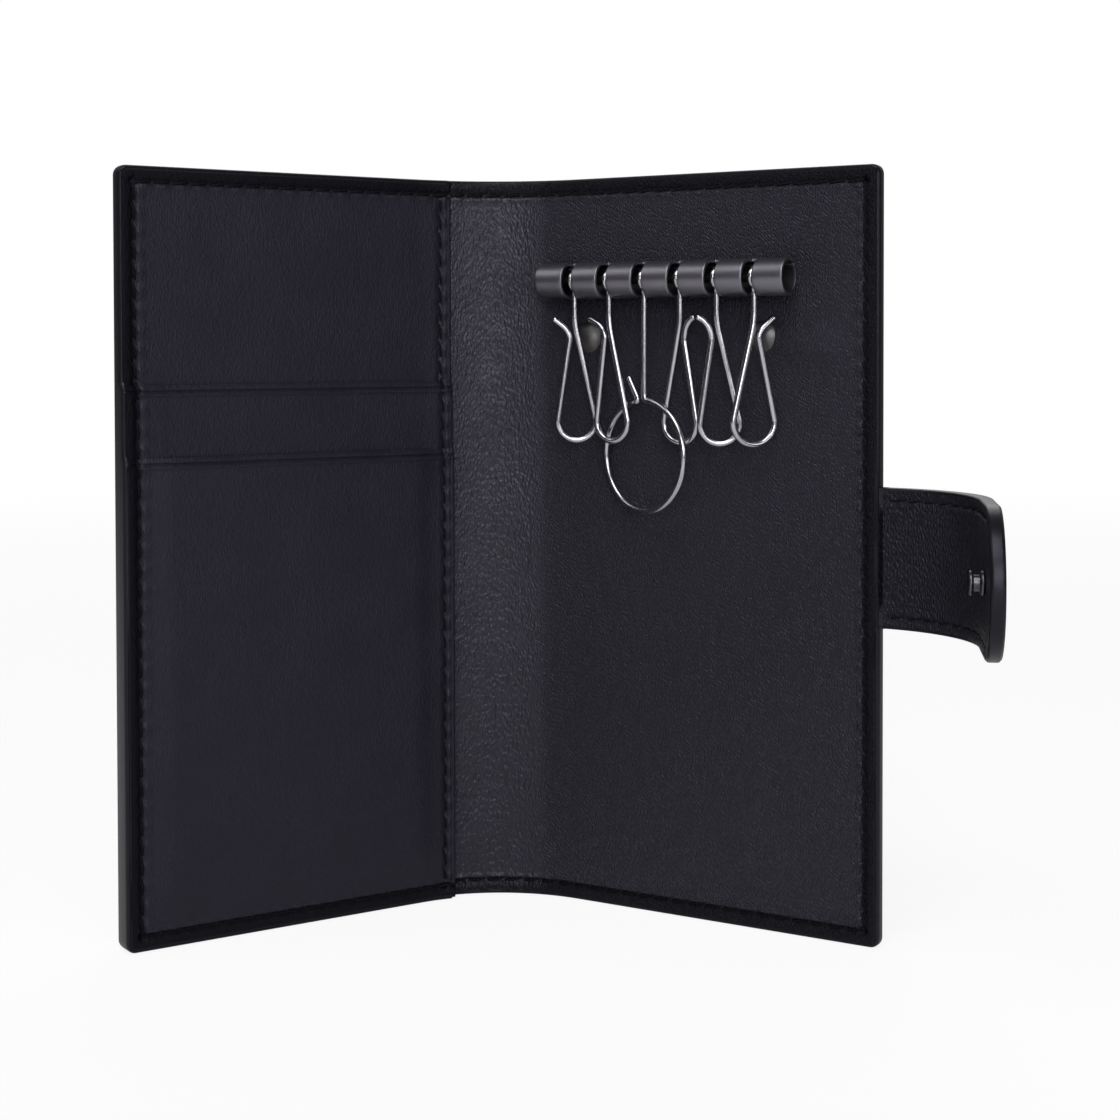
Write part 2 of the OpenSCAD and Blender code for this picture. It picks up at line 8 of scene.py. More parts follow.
import math
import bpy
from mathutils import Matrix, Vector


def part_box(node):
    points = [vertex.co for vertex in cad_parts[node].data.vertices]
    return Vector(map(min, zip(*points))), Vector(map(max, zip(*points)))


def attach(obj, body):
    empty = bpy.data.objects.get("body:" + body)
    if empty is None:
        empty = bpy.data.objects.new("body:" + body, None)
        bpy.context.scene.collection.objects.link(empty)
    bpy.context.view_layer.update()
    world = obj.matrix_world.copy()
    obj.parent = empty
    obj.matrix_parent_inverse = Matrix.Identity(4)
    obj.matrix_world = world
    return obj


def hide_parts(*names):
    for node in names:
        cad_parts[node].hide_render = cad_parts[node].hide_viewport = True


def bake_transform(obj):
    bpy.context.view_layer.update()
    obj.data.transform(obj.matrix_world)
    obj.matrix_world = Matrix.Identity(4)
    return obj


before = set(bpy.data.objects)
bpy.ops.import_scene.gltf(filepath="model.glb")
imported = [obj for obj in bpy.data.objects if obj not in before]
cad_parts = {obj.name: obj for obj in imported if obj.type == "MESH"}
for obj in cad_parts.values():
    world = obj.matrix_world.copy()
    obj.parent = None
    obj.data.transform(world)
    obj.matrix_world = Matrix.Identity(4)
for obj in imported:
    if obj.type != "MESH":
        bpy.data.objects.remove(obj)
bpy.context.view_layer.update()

import bmesh
import bpy
import numpy as np
from bpy.props import FloatProperty, FloatVectorProperty, PointerProperty
from mathutils import Matrix, Vector

bl_info = {
    "name": "Key case",
    "version": (1, 0, 0),
    "blender": (4, 5, 0),
    "location": "3D View > Sidebar > Key case",
    "description": "Builds the leather, thread and metal of a book-style key case",
    "category": "Add Mesh",
}

MM = 0.001
SEED = 7


def srgb(code):
    """A colour written as sRGB hex, turned linear."""
    parts = [int(code[i : i + 2], 16) / 255 for i in (1, 3, 5)]
    return tuple(v / 12.92 if v <= 0.04045 else ((v + 0.055) / 1.055) ** 2.4 for v in parts)


def length(name, description, millimetres, low=0.0):
    return FloatProperty(
        name=name,
        description=description,
        default=millimetres * MM,
        min=low * MM,
        unit="LENGTH",
        subtype="DISTANCE",
        precision=5,
    )


def colour(name, description, code):
    return FloatVectorProperty(
        name=name, description=description, default=srgb(code), min=0, max=1, subtype="COLOR"
    )


class KeyCaseSizes(bpy.types.PropertyGroup):
    cover_w: length("Cover width", "From a cover's fold line round the curve to its fore-edge", 60.6)
    spine_w: length("Spine width", "Between the two fold lines, along the lining", 12)
    back_roll: length("Back curve", "Curved part of the back cover beside its fold line", 6.6)
    front_roll: length("Front curve", "Curved part of the front cover beside its fold line", 8.9)
    fold_r: length("Curve radius", "Radius of the open case's curve, on the lining", 24.3)
    outer_t: length("Outer leather", "Thickness of the outer leather", 1)
    board_t: length("Board", "Thickness of the stiffening board", 0.6)
    lining_t: length("Lining", "Thickness of the lining", 0.8)
    panel_w: length("Panel width", "Width of the card panel, from the fore-edge", 57.8)
    panel_t: length("Panel thickness", "Thickness of the card panel", 0.5)
    pocket_t: length("Pocket leather", "Thickness of a pocket's leather", 0.7)
    pocket_gap: length("Pocket space", "Depth of the empty space in a pocket", 0.3)
    rear_top: length("Rear pocket", "Height of the rear pocket's upper edge", 86.5)
    front_top: length("Front pocket", "Height of the front pocket's upper edge", 75.4)
    corner_r: length("Corners", "Radius of the fore-edges' corners", 1.5)
    arris_r: length("Edge rounding", "Radius of the painted edges", 0.75)
    seam_inset: length("Seam inset", "From an edge to its line of stitches", 2.5)
    stitch: length("Stitch", "Length of one stitch, from hole to hole", 3, 1)
    thread_d: length("Thread", "Diameter of the thread", 0.5)
    wire_d: length("Hook wire", "Diameter of the hooks' wire", 0.95)
    rail_d: length("Rail", "Outer diameter of the rolled rail", 5.9)
    sheet_t: length("Rail sheet", "Thickness of the rail's sheet", 0.6)
    strap_r: length("Strap curve", "Centre line radius of the strap's curve", 22)
    strap_w: length("Strap width", "Width of the strap", 21.5)
    strap_leather_t: length("Strap leather", "Thickness of each of the strap's leathers", 1)


class KeyCaseFinish(bpy.types.PropertyGroup):
    calf: colour("Outer leather", "Colour of the smooth outer calf leather", "#17171b")
    lining: colour("Lining", "Colour of the grained nappa lining", "#19181f")
    panel: colour("Card leather", "Colour of the card panel and pockets", "#16151d")
    paint: colour("Edge paint", "Colour of the edge paint", "#111115")
    thread: colour("Thread", "Colour of the sewing thread", "#0d0d10")
    gunmetal: colour("Rail", "Colour of the rail's gunmetal plating", "#76747b")
    ruthenium: colour("Wire", "Colour of the hooks' plating", "#a9a8ae")
    steel: colour("Rod and rivets", "Colour of the blackened rod and the rivets", "#5b5859")


# The frame's own places


class Strip:
    """A strip that lies flat, turns about a centre and lies flat again."""

    def __init__(self, centre, radius, arc, side):
        self.centre, self.radius, self.arc, self.side = centre, radius, arc, side
        self.turn = arc / radius

    def at(self, s, r, z):
        s, r, z = np.broadcast_arrays(
            np.asarray(s, float), np.asarray(r, float), np.asarray(z, float)
        )
        a = np.clip(s, 0, self.arc) / self.radius
        before, after = np.minimum(s, 0), np.maximum(s - self.arc, 0)
        x = self.centre[0] + self.side * (r * np.sin(a) + before + after * math.cos(self.turn))
        y = self.centre[1] + r * np.cos(a) - after * math.sin(self.turn)
        return np.stack([x, y, z], -1)

    def inward(self, s):
        a = np.clip(np.asarray(s, float), 0, self.arc) / self.radius
        return np.stack([-self.side * np.sin(a), -np.cos(a), np.zeros_like(a)], -1)


def case_strip(k):
    case_t = k.outer_t / 2 + k.board_t + k.lining_t
    centre = (-(k.cover_w - k.back_roll) / 2, -case_t - k.fold_r)
    return Strip(centre, k.fold_r, k.back_roll + k.spine_w + k.front_roll, -1)


STRAP_ARC = 25.5 * MM
STRAP_ROOT = 19.2 * MM
STRAP_STRAIGHT = 10.7 * MM
STRAP_STUB = 1.2 * MM


def strap_strip(k):
    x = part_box("strap_tongue")[1].x
    y = -(k.outer_t + k.board_t) / 2
    return Strip((x, y - k.strap_r), k.strap_r, STRAP_ARC, 1)


# Mesh helpers


def lines(start, end, step, *fine):
    """Grid lines from start to end, closer together where a fine (middle, reach, step) says so."""
    places, here = [start], start
    while here < end - 1e-9:
        gap = step
        for middle, reach, small in fine:
            if abs(here - middle) < reach:
                gap = min(gap, small)
            elif here < middle - reach < here + gap:
                gap = max(middle - reach - here, small)
        here = min(here + gap, end)
        places.append(here)
    if len(places) > 2 and places[-1] - places[-2] < step / 5:
        places.pop(-2)
    return np.array(places)


def new_object(name, vertices, faces, materials, indices=None, uv=None, sharp=40):
    """A plain mesh object; uv holds one pair of lengths per vertex."""
    mesh = bpy.data.meshes.new(name)
    mesh.from_pydata([tuple(v) for v in np.asarray(vertices)], [], [list(f) for f in faces])
    for material in materials:
        mesh.materials.append(material)
    if indices is not None:
        mesh.polygons.foreach_set("material_index", np.asarray(indices, np.int32))
    if uv is not None:
        layer = mesh.uv_layers.new(name="leather")
        loops = np.zeros(len(mesh.loops), np.int32)
        mesh.loops.foreach_get("vertex_index", loops)
        layer.data.foreach_set("uv", np.asarray(uv, np.float32)[loops].ravel())
    work = bmesh.new()
    work.from_mesh(mesh)
    bmesh.ops.recalc_face_normals(work, faces=work.faces)
    work.to_mesh(mesh)
    work.free()
    mesh.shade_smooth()
    mesh.set_sharp_from_angle(angle=math.radians(sharp))
    mesh.validate()
    obj = bpy.data.objects.new(name, mesh)
    bpy.context.scene.collection.objects.link(obj)
    return obj


def shell(name, strip, s_lines, z_lines, low, high, front, back, materials):
    """A closed sheet of leather between the front and back distances, in a grid over its outline."""
    n, m = len(s_lines), len(z_lines)
    share = (z_lines - z_lines[0]) / (z_lines[-1] - z_lines[0])
    s_grid = np.repeat(s_lines[:, None], m, 1)
    bottom, top = low(s_lines)[:, None], high(s_lines)[:, None]
    z_grid = bottom + (top - bottom) * share[None, :]
    plain = (np.abs(bottom - z_lines[0]) < 1e-9) & (np.abs(top - z_lines[-1]) < 1e-9)
    z_grid = np.where(plain, z_lines[None, :], z_grid)
    points = [strip.at(s_grid, face(s_grid, z_grid), z_grid).reshape(-1, 3) for face in (front, back)]
    index = np.arange(n * m).reshape(n, m)
    quads = np.stack([index[:-1, :-1], index[1:, :-1], index[1:, 1:], index[:-1, 1:]], -1)
    quads = quads.reshape(-1, 4)
    rim = np.concatenate([index[:, 0], index[-1, 1:], index[-2::-1, -1], index[0, -2:0:-1]])
    following = np.roll(rim, -1)
    walls = np.stack([rim, rim + n * m, following + n * m, following], -1)
    faces = np.concatenate([quads, quads[:, ::-1] + n * m, walls])
    indices = np.concatenate(
        [np.zeros(len(quads)), np.ones(len(quads)), np.full(len(walls), 2)]
    ).clip(max=len(materials) - 1)
    uv = np.stack([s_grid.ravel(), z_grid.ravel()], -1)
    return new_object(
        name, np.concatenate(points), faces, materials, indices, np.concatenate([uv, uv])
    )


def ribbon(name, strip, path, inner, outer, arris, material, reach=0.55 * MM):
    """Edge paint round a stack of leathers: a rounded band along an outline of (s, z) places."""
    path = np.asarray(path, float)
    along = np.gradient(path, axis=0)
    along /= np.linalg.norm(along, axis=1)[:, None]
    outward = np.stack([along[:, 1], -along[:, 0]], -1)
    r_in, r_out = inner(path[:, 0], path[:, 1]), outer(path[:, 0], path[:, 1])
    steps = np.linspace(0, math.pi / 2, 7)
    proud = 0.03 * MM
    section = [(-reach - arris, 0.25 * MM, 0), (-reach, -proud, 0)]
    section += [(-arris + arris * math.sin(a), arris * (1 - math.cos(a)), 0) for a in steps]
    section += [(-arris + arris * math.sin(a), arris * (1 - math.cos(a)), 1) for a in steps[::-1]]
    section += [(-reach, -proud, 1), (-reach - arris, 0.25 * MM, 1)]
    rows = []
    for offset, depth, far in section:
        place = path + outward * offset
        r = r_out - depth if far else r_in + depth
        rows.append(strip.at(place[:, 0], r, place[:, 1]))
    grid = np.stack(rows, 1)
    n, m = grid.shape[:2]
    index = np.arange(n * m).reshape(n, m)
    turned = np.roll(index, -1, axis=1)
    quads = np.stack([index[:-1], index[1:], turned[1:], turned[:-1]], -1).reshape(-1, 4)
    faces = [*quads.tolist(), index[0].tolist(), index[-1, ::-1].tolist()]
    uv = np.repeat(path, m, axis=0)
    return new_object(name, grid.reshape(-1, 3), faces, [material], None, uv, sharp=60)


def tube(name, points, radius, material, sides=20, end=0.3 * MM):
    """Round wire along points, its ends rounded over."""
    p = np.asarray(points, float)
    along = np.gradient(p, axis=0)
    along /= np.linalg.norm(along, axis=1)[:, None]
    across = np.cross(along[0], [0.3, 0.2, 0.9])
    across /= np.linalg.norm(across)
    rings, angles = [], np.linspace(0, 2 * math.pi, sides, endpoint=False)
    for i in range(len(p)):
        across = across - along[i] * (across @ along[i])
        across /= np.linalg.norm(across)
        other = np.cross(along[i], across)
        ring = np.cos(angles)[:, None] * across + np.sin(angles)[:, None] * other
        if i in (0, len(p) - 1):
            # A round end: the rings shrink towards the point
            inward = along[i] if i == 0 else -along[i]
            cap = [
                p[i] + inward * end * (1 - math.sin(a)) + ring * (radius - end * (1 - math.cos(a)))
                for a in np.radians([90, 60, 30, 0])
            ]
            rings += cap if i == 0 else cap[::-1]
        else:
            rings.append(p[i] + ring * radius)
    count = len(rings)
    index = np.arange(count * sides).reshape(count, sides)
    turned = np.roll(index, -1, axis=1)
    quads = np.stack([index[:-1], turned[:-1], turned[1:], index[1:]], -1).reshape(-1, 4)
    faces = [*quads.tolist(), index[0, ::-1].tolist(), index[-1].tolist()]
    return new_object(name, np.concatenate(rings), faces, [material])


def lathe(name, profile, place, material, sides=64):
    """A turned piece: (radius, height) pairs about Z, put in place by a matrix."""
    work = bmesh.new()
    rings = []
    for radius, height in profile:
        if radius < 1e-7:
            rings.append([work.verts.new((0, 0, height))])
            continue
        rings.append(
            [
                work.verts.new((radius * math.cos(a), radius * math.sin(a), height))
                for a in (2 * math.pi * i / sides for i in range(sides))
            ]
        )
    for one, two in zip(rings, rings[1:]):
        for i in range(sides):
            j = (i + 1) % sides
            corners = [one[i % len(one)], one[j % len(one)], two[j % len(two)], two[i % len(two)]]
            corners = list(dict.fromkeys(corners))
            if len(corners) > 2:
                work.faces.new(corners)
    bmesh.ops.recalc_face_normals(work, faces=work.faces)
    mesh = bpy.data.meshes.new(name)
    work.to_mesh(mesh)
    work.free()
    mesh.transform(place)
    mesh.materials.append(material)
    mesh.shade_smooth()
    mesh.set_sharp_from_angle(angle=math.radians(50))
    obj = bpy.data.objects.new(name, mesh)
    bpy.context.scene.collection.objects.link(obj)
    return obj


def waves(seed, count, longest, shortest):
    """Soft chance waves over a surface, as a function of two lengths, about -1 to 1."""
    chance = np.random.default_rng(seed)
    sizes = longest * (shortest / longest) ** chance.random(count)
    turns, starts = chance.random(count) * 2 * math.pi, chance.random(count) * 2 * math.pi

    def at(u, v):
        total = np.zeros_like(u, dtype=float)
        for size, turn, start in zip(sizes, turns, starts):
            phase = (u * math.cos(turn) + v * math.sin(turn)) / size * 2 * math.pi + start
            total += np.sin(phase) * (size / longest) ** 0.5
        return total / math.sqrt(count / 2)

    return at


def smooth(x, low, high):
    t = np.clip((np.asarray(x, float) - low) / (high - low), 0, 1)
    return t * t * (3 - 2 * t)


# Seams: each line of stitches runs along z or s, and its inner side is the side of the leather


class Seam:
    def __init__(self, way, place, start, end, pitch, inside, depth=0.4 * MM, swell=0.38 * MM):
        self.way, self.place, self.inside = way, place, inside
        self.count = max(1, round((end - start) / pitch))
        self.start, self.end = start, end
        self.pitch = (end - start) / self.count
        self.depth, self.swell = depth, swell

    def relief(self, s, z):
        """Height of the leather by this seam: a valley with holes, and swellings beside it."""
        along, across = (z, s) if self.way == "z" else (s, z)
        d = (across - self.place) * self.inside
        ends = smooth(along, self.start - 1.2 * MM, self.start + 0.3 * MM) * (
            1 - smooth(along, self.end - 0.3 * MM, self.end + 1.2 * MM)
        )
        phase = (along - self.start) / self.pitch * math.pi
        # The margin outside the stitches is drawn down towards them, the inner side stands up
        wide = np.where(d < 0, 0.85 * MM, 0.42 * MM)
        valley = -self.depth * np.exp(-((d / wide) ** 2))
        holes = -0.3 * MM * np.cos(phase) ** 6 * np.exp(-((d / (0.4 * MM)) ** 2))
        lump = np.sin(phase + 0.35) ** 2
        side = np.exp(-(((d - 0.6 * MM) / (0.36 * MM)) ** 2)) * (0.1 + 0.9 * lump)
        outer = np.exp(-(((d + 0.7 * MM) / (0.4 * MM)) ** 2)) * 0.15 * lump
        return ends * (valley + holes + self.swell * (side + outer))

    def stitches(self):
        """Middle of each stitch, as (s, z)."""
        middles = self.start + (np.arange(self.count) + 0.5) * self.pitch
        fixed = np.full(self.count, self.place)
        return np.stack([fixed, middles] if self.way == "z" else [middles, fixed], -1)


def case_places(k):
    """The case's main distances along its strip, and its height."""
    arc = k.back_roll + k.spine_w + k.front_roll
    back_flat, front_flat = k.cover_w - k.back_roll, k.cover_w - k.front_roll
    return {
        "h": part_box("back_outer_leather")[1].z,
        "arc": arc,
        "back_edge": -back_flat,
        "front_edge": arc + front_flat,
        "middle": k.back_roll + k.spine_w / 2,
        "panel": arc + front_flat - k.panel_w,
    }


def case_seams(k):
    """Seams through the whole case: the back cover's, the front cover's and the card panel's."""
    c, i = case_places(k), k.seam_inset
    middle = c["middle"]
    back = [
        Seam("z", c["back_edge"] + i, i, c["h"] - i, k.stitch, 1),
        Seam("s", i, c["back_edge"] + i, middle, k.stitch, 1),
        Seam("s", c["h"] - i, c["back_edge"] + i, middle, k.stitch, -1),
    ]
    front = [
        Seam("z", c["front_edge"] - i, i, c["h"] - i, k.stitch, -1),
        Seam("s", i, middle, c["front_edge"] - i, k.stitch, 1),
        Seam("s", c["h"] - i, middle, c["front_edge"] - i, k.stitch, -1),
    ]
    panel = Seam(
        "z", c["panel"] + 1.9 * MM, i, c["h"] - i, k.stitch, -1, depth=0.3 * MM, swell=0.3 * MM
    )
    return back, front, panel


def sum_relief(seams):
    return lambda s, z: sum(seam.relief(s, z) for seam in seams)


# Materials


def tree_node(tree, kind, settings=(), inputs=(), links=()):
    """Adds a node with its settings, input values and links from (node, socket) to an input."""
    node = tree.nodes.new(kind)
    for name, value in dict(settings).items():
        setattr(node, name, value)
    for name, value in dict(inputs).items():
        node.inputs[name].default_value = value
    for name, (source, socket) in dict(links).items():
        tree.links.new(source.outputs[socket], node.inputs[name])
    return node


def adder(tree):
    """tree_node for one tree."""
    return lambda kind, *details: tree_node(tree, kind, *details)


def start_material(name, **sockets):
    """A material with a Principled BSDF, whose sockets are set by name."""
    material = bpy.data.materials.new(name)
    material.use_nodes = True
    tree = material.node_tree
    shader = tree.nodes["Principled BSDF"]
    for key, value in sockets.items():
        shader.inputs[key.replace("_", " ").title().replace("Ior", "IOR")].default_value = value
    return material, tree, shader


# Node settings that recur
SMOOTH = {"interpolation_type": "SMOOTHSTEP"}
TIMES = {"operation": "MULTIPLY"}
TIMES_PLUS = {"operation": "MULTIPLY_ADD"}
CELL_EDGES = {"voronoi_dimensions": "2D", "feature": "DISTANCE_TO_EDGE"}
COLOURS = {"data_type": "RGBA"}


def scaled(colour_value, share):
    return [v * share for v in colour_value]


def colour_and_bump(tree, dark, light, tones, relief, strength, distance):
    """Colours a surface from dark to light by one pattern and raises it by another.

    A pattern is a (node, socket) pair. Returns the node that mixes the colours."""
    shader = tree.nodes["Principled BSDF"]
    tone = tree_node(
        tree, "ShaderNodeMix", COLOURS, {"A": (*dark, 1), "B": (*light, 1)}, {"Factor": tones}
    )
    bump = tree_node(
        tree, "ShaderNodeBump", {}, {"Strength": strength, "Distance": distance}, {"Height": relief}
    )
    tree.links.new(tone.outputs["Result"], shader.inputs["Base Color"])
    tree.links.new(bump.outputs["Normal"], shader.inputs["Normal"])
    return tone


# The pigmented top coat of leather and edge paint tints its gloss a little
FINISH_TINT = (0.86, 0.85, 1.0, 1.0)


def leather_material(
    name, colour_value, cell, grain, roughness,
    specular=0.32, fine=1.3, pebble=0.32, fold=None, edges=None,
):
    """Dyed leather: soft pebbles with fine pores between them, under a thin pigmented gloss.

    cell is the size of a pebble and grain how high it stands; pebble and fine weigh the pebbles and
    the pores. On the fold, which is (from, full, to, end, share of the flats) along the strip, the
    pebbles stand up; beside it they are drawn out into slanting wrinkles. Without a fold the whole
    piece is pebbled. edges is (start, end, height, inset) of a case whose margin outside the
    stitches is painted darker, as painted shade, and has less gloss. A piece with a fold has edges too."""
    material, tree, shader = start_material(
        name, roughness=roughness, specular_ior_level=specular, ior=1.45, specular_tint=FINISH_TINT
    )
    add = adder(tree)
    place = add("ShaderNodeUVMap", {"uv_map": "leather"})
    # The grain's cells wander a little, as follicles do
    wander = add(
        "ShaderNodeTexNoise", {}, {"Scale": 0.35 / cell, "Detail": 2.0}, {"Vector": (place, "UV")}
    )
    shift = add(
        "ShaderNodeVectorMath",
        TIMES_PLUS,
        {1: (cell * 0.9,) * 3},
        {0: (wander, "Color"), 2: (place, "UV")},
    )
    stretch = add(
        "ShaderNodeMapping", {}, {"Scale": (1.35, 0.62, 1.0)}, {"Vector": (shift, "Vector")}
    )
    cells = add(
        "ShaderNodeTexVoronoi",
        CELL_EDGES,
        {"Scale": 1 / cell, "Randomness": 1.0},
        {"Vector": (stretch, "Vector")},
    )
    domes = add(
        "ShaderNodeMapRange",
        SMOOTH,
        {"From Max": 0.45, "To Max": pebble},
        {"Value": (cells, "Distance")},
    )
    pores = add(
        "ShaderNodeTexNoise",
        {},
        {"Scale": 1.15 / cell, "Detail": 1.5},
        {"Vector": (stretch, "Vector")},
    )
    broad = add(
        "ShaderNodeTexNoise", {}, {"Scale": 1 / (9 * MM), "Detail": 3.0}, {"Vector": (place, "UV")}
    )
    patches = add(
        "ShaderNodeMapRange",
        SMOOTH,
        {"From Min": 0.3, "From Max": 0.7, "To Min": 0.6},
        {"Value": (broad, "Fac")},
    )
    height = add("ShaderNodeMath", TIMES_PLUS, {1: fine}, {0: (pores, "Fac"), 2: (domes, "Result")})
    rise = add("ShaderNodeMath", TIMES, {}, {0: (height, "Value"), 1: (patches, "Result")})
    relief = (rise, "Value")
    if fold:
        # Beside the fold the pebbles lie flatter, drawn out along a slant
        rise_from, rise_full, fall_from, fall_end, flat_share = fold
        slant = add(
            "ShaderNodeMapping",
            {"vector_type": "TEXTURE"},
            {"Rotation": (0, 0, math.radians(70)), "Scale": (1.9, 0.75, 1.0)},
            {"Vector": (shift, "Vector")},
        )
        drawn_cells = add(
            "ShaderNodeTexVoronoi",
            CELL_EDGES,
            {"Scale": 1.5 / cell, "Randomness": 1.0},
            {"Vector": (slant, "Vector")},
        )
        flat_domes = add(
            "ShaderNodeMapRange", SMOOTH, {"From Max": 0.3}, {"Value": (drawn_cells, "Distance")}
        )
        mounds = add(
            "ShaderNodeTexNoise",
            {},
            {"Scale": 0.9 / cell, "Detail": 2.0},
            {"Vector": (slant, "Vector")},
        )
        flat = add(
            "ShaderNodeMath", TIMES_PLUS, {1: 1.1}, {0: (mounds, "Fac"), 2: (flat_domes, "Result")}
        )
        along = add("ShaderNodeSeparateXYZ", {}, {}, {"Vector": (place, "UV")})
        up = add(
            "ShaderNodeMapRange",
            SMOOTH,
            {"From Min": rise_from, "From Max": rise_full},
            {"Value": (along, "X")},
        )
        down = add(
            "ShaderNodeMapRange",
            SMOOTH,
            {"From Min": fall_from, "From Max": fall_end, "To Min": 1.0, "To Max": 0.0},
            {"Value": (along, "X")},
        )
        on_fold = add("ShaderNodeMath", TIMES, {}, {0: (up, "Result"), 1: (down, "Result")})
        drawn = add("ShaderNodeMath", TIMES, {1: flat_share}, {0: (flat, "Value")})
        blended = add(
            "ShaderNodeMix",
            {},
            {},
            {"Factor": (on_fold, "Value"), "A": (drawn, "Value"), "B": (rise, "Value")},
        )
        relief = (blended, "Result")
    # The pebbles' tops are coloured lighter and the hollows between them darker: painted highlight on
    # the tops and painted shade in the hollows
    thin, thick = scaled(colour_value, 1.3), scaled(colour_value, 0.7)
    tone = colour_and_bump(tree, thick, thin, relief, relief, 1.0, grain)
    if edges:
        # Outside the stitches the leather is painted darker and has less gloss: painted shade on the
        # margin
        start, end, top, inset = edges
        spot = add("ShaderNodeSeparateXYZ", {}, {}, {"Vector": (place, "UV")})
        sides = [
            add(
                "ShaderNodeMapRange",
                SMOOTH,
                {"From Min": limit, "From Max": limit + step},
                {"Value": (spot, axis)},
            )
            for axis, limit, step in (
                ("X", start + inset, 0.5 * MM),
                ("X", end - inset, -0.5 * MM),
                ("Y", inset, 0.5 * MM),
                ("Y", top - inset, -0.5 * MM),
            )
        ]
        inside = (sides[0], "Result")
        for side in sides[1:]:
            inside = (add("ShaderNodeMath", TIMES, {}, {0: inside, 1: (side, "Result")}), "Value")
        margin_painted_shade = add(
            "ShaderNodeMix",
            COLOURS,
            {"A": (*scaled(colour_value, 0.35), 1)},
            {"Factor": inside, "B": (tone, "Result")},
        )
        shine = add(
            "ShaderNodeMapRange",
            SMOOTH,
            {"To Min": specular * 0.45, "To Max": specular},
            {"Value": inside},
        )
        tree.links.new(margin_painted_shade.outputs["Result"], shader.inputs["Base Color"])
        tree.links.new(shine.outputs["Result"], shader.inputs["Specular IOR Level"])
    rough = add(
        "ShaderNodeMapRange",
        SMOOTH,
        {"From Min": 0.25, "From Max": 0.75, "To Min": roughness - 0.04, "To Max": roughness + 0.05},
        {"Value": (broad, "Fac")},
    )
    tree.links.new(rough.outputs["Result"], shader.inputs["Roughness"])
    if fold:
        # The fold is handled most, and has a little more gloss
        worn = add(
            "ShaderNodeMath", TIMES_PLUS, {1: -0.09}, {0: (on_fold, "Value"), 2: (rough, "Result")}
        )
        polish = add(
            "ShaderNodeMapRange", SMOOTH, {"To Min": 1.0, "To Max": 1.15}, {"Value": (on_fold, "Value")}
        )
        glossy = add("ShaderNodeMath", TIMES, {}, {0: (shine, "Result"), 1: (polish, "Result")})
        tree.links.new(worn.outputs["Value"], shader.inputs["Roughness"])
        tree.links.new(glossy.outputs["Value"], shader.inputs["Specular IOR Level"])
    return material


def metal_material(name, colour_value, roughness, line, turned=False):
    """Plated metal with fine lines of the given spacing from drawing, rolling or turning."""
    material, tree, shader = start_material(name, metallic=1.0, roughness=roughness)
    add = adder(tree)
    place = add("ShaderNodeTexCoord")
    scale = (0.15, 1.0, 1.0) if turned else (1.0, 1.0, 0.12)
    stretch = add("ShaderNodeMapping", {}, {"Scale": scale}, {"Vector": (place, "Object")})
    scratch = add(
        "ShaderNodeTexNoise",
        {},
        {"Scale": 1 / line, "Detail": 4.0, "Roughness": 0.65},
        {"Vector": (stretch, "Vector")},
    )
    cloud = add(
        "ShaderNodeTexNoise",
        {},
        {"Scale": 1 / (3 * MM), "Detail": 2.0},
        {"Vector": (place, "Object")},
    )
    rough = add(
        "ShaderNodeMapRange",
        SMOOTH,
        {"From Min": 0.3, "From Max": 0.7, "To Min": roughness - 0.06, "To Max": roughness + 0.08},
        {"Value": (scratch, "Fac")},
    )
    tree.links.new(rough.outputs["Result"], shader.inputs["Roughness"])
    light = [min(v, 1) for v in scaled(colour_value, 1.1)]
    dark = scaled(colour_value, 0.86)
    colour_and_bump(tree, dark, light, (cloud, "Fac"), (scratch, "Fac"), 0.25, 0.01 * MM)
    return material


def paint_material(name, colour_value):
    """Edge paint, brushed on in coats and burnished: a glossy, slightly wavy film."""
    material, tree, _ = start_material(
        name, roughness=0.34, specular_ior_level=0.2, specular_tint=FINISH_TINT
    )
    add = adder(tree)
    place = add("ShaderNodeTexCoord")
    film = add(
        "ShaderNodeTexNoise",
        {},
        {"Scale": 1 / (0.9 * MM), "Detail": 2.0},
        {"Vector": (place, "Object")},
    )
    film = (film, "Fac")
    dark, light = scaled(colour_value, 0.85), scaled(colour_value, 1.2)
    colour_and_bump(tree, dark, light, film, film, 0.35, 0.05 * MM)
    return material


def thread_material(name, colour_value):
    """Waxed, twisted thread: matt, with the slanting lines of its plies."""
    material, tree, _ = start_material(name, roughness=0.8, specular_ior_level=0.06)
    add = adder(tree)
    place = add("ShaderNodeTexCoord")
    plies = add(
        "ShaderNodeTexWave",
        {"bands_direction": "DIAGONAL"},
        {"Scale": 1 / (1.6 * MM), "Distortion": 0.6, "Detail": 1.0},
        {"Vector": (place, "Object")},
    )
    plies = (plies, "Fac")
    dark, light = scaled(colour_value, 0.6), scaled(colour_value, 1.5)
    colour_and_bump(tree, dark, light, plies, plies, 0.6, 0.05 * MM)
    return material


def board_material(name):
    """Bonded leather board, pressed from ground fibre: brown, flecked and matt."""
    material, tree, shader = start_material(name, roughness=0.9, specular_ior_level=0.2)
    add = adder(tree)
    place = add("ShaderNodeTexCoord")
    flecks = add(
        "ShaderNodeTexNoise",
        {},
        {"Scale": 1 / (0.6 * MM), "Detail": 5.0, "Roughness": 0.7},
        {"Vector": (place, "Object")},
    )
    tone = add(
        "ShaderNodeMix",
        COLOURS,
        {"A": (*srgb("#5c4a38"), 1), "B": (*srgb("#8a745b"), 1)},
        {"Factor": (flecks, "Fac")},
    )
    tree.links.new(tone.outputs["Result"], shader.inputs["Base Color"])
    return material


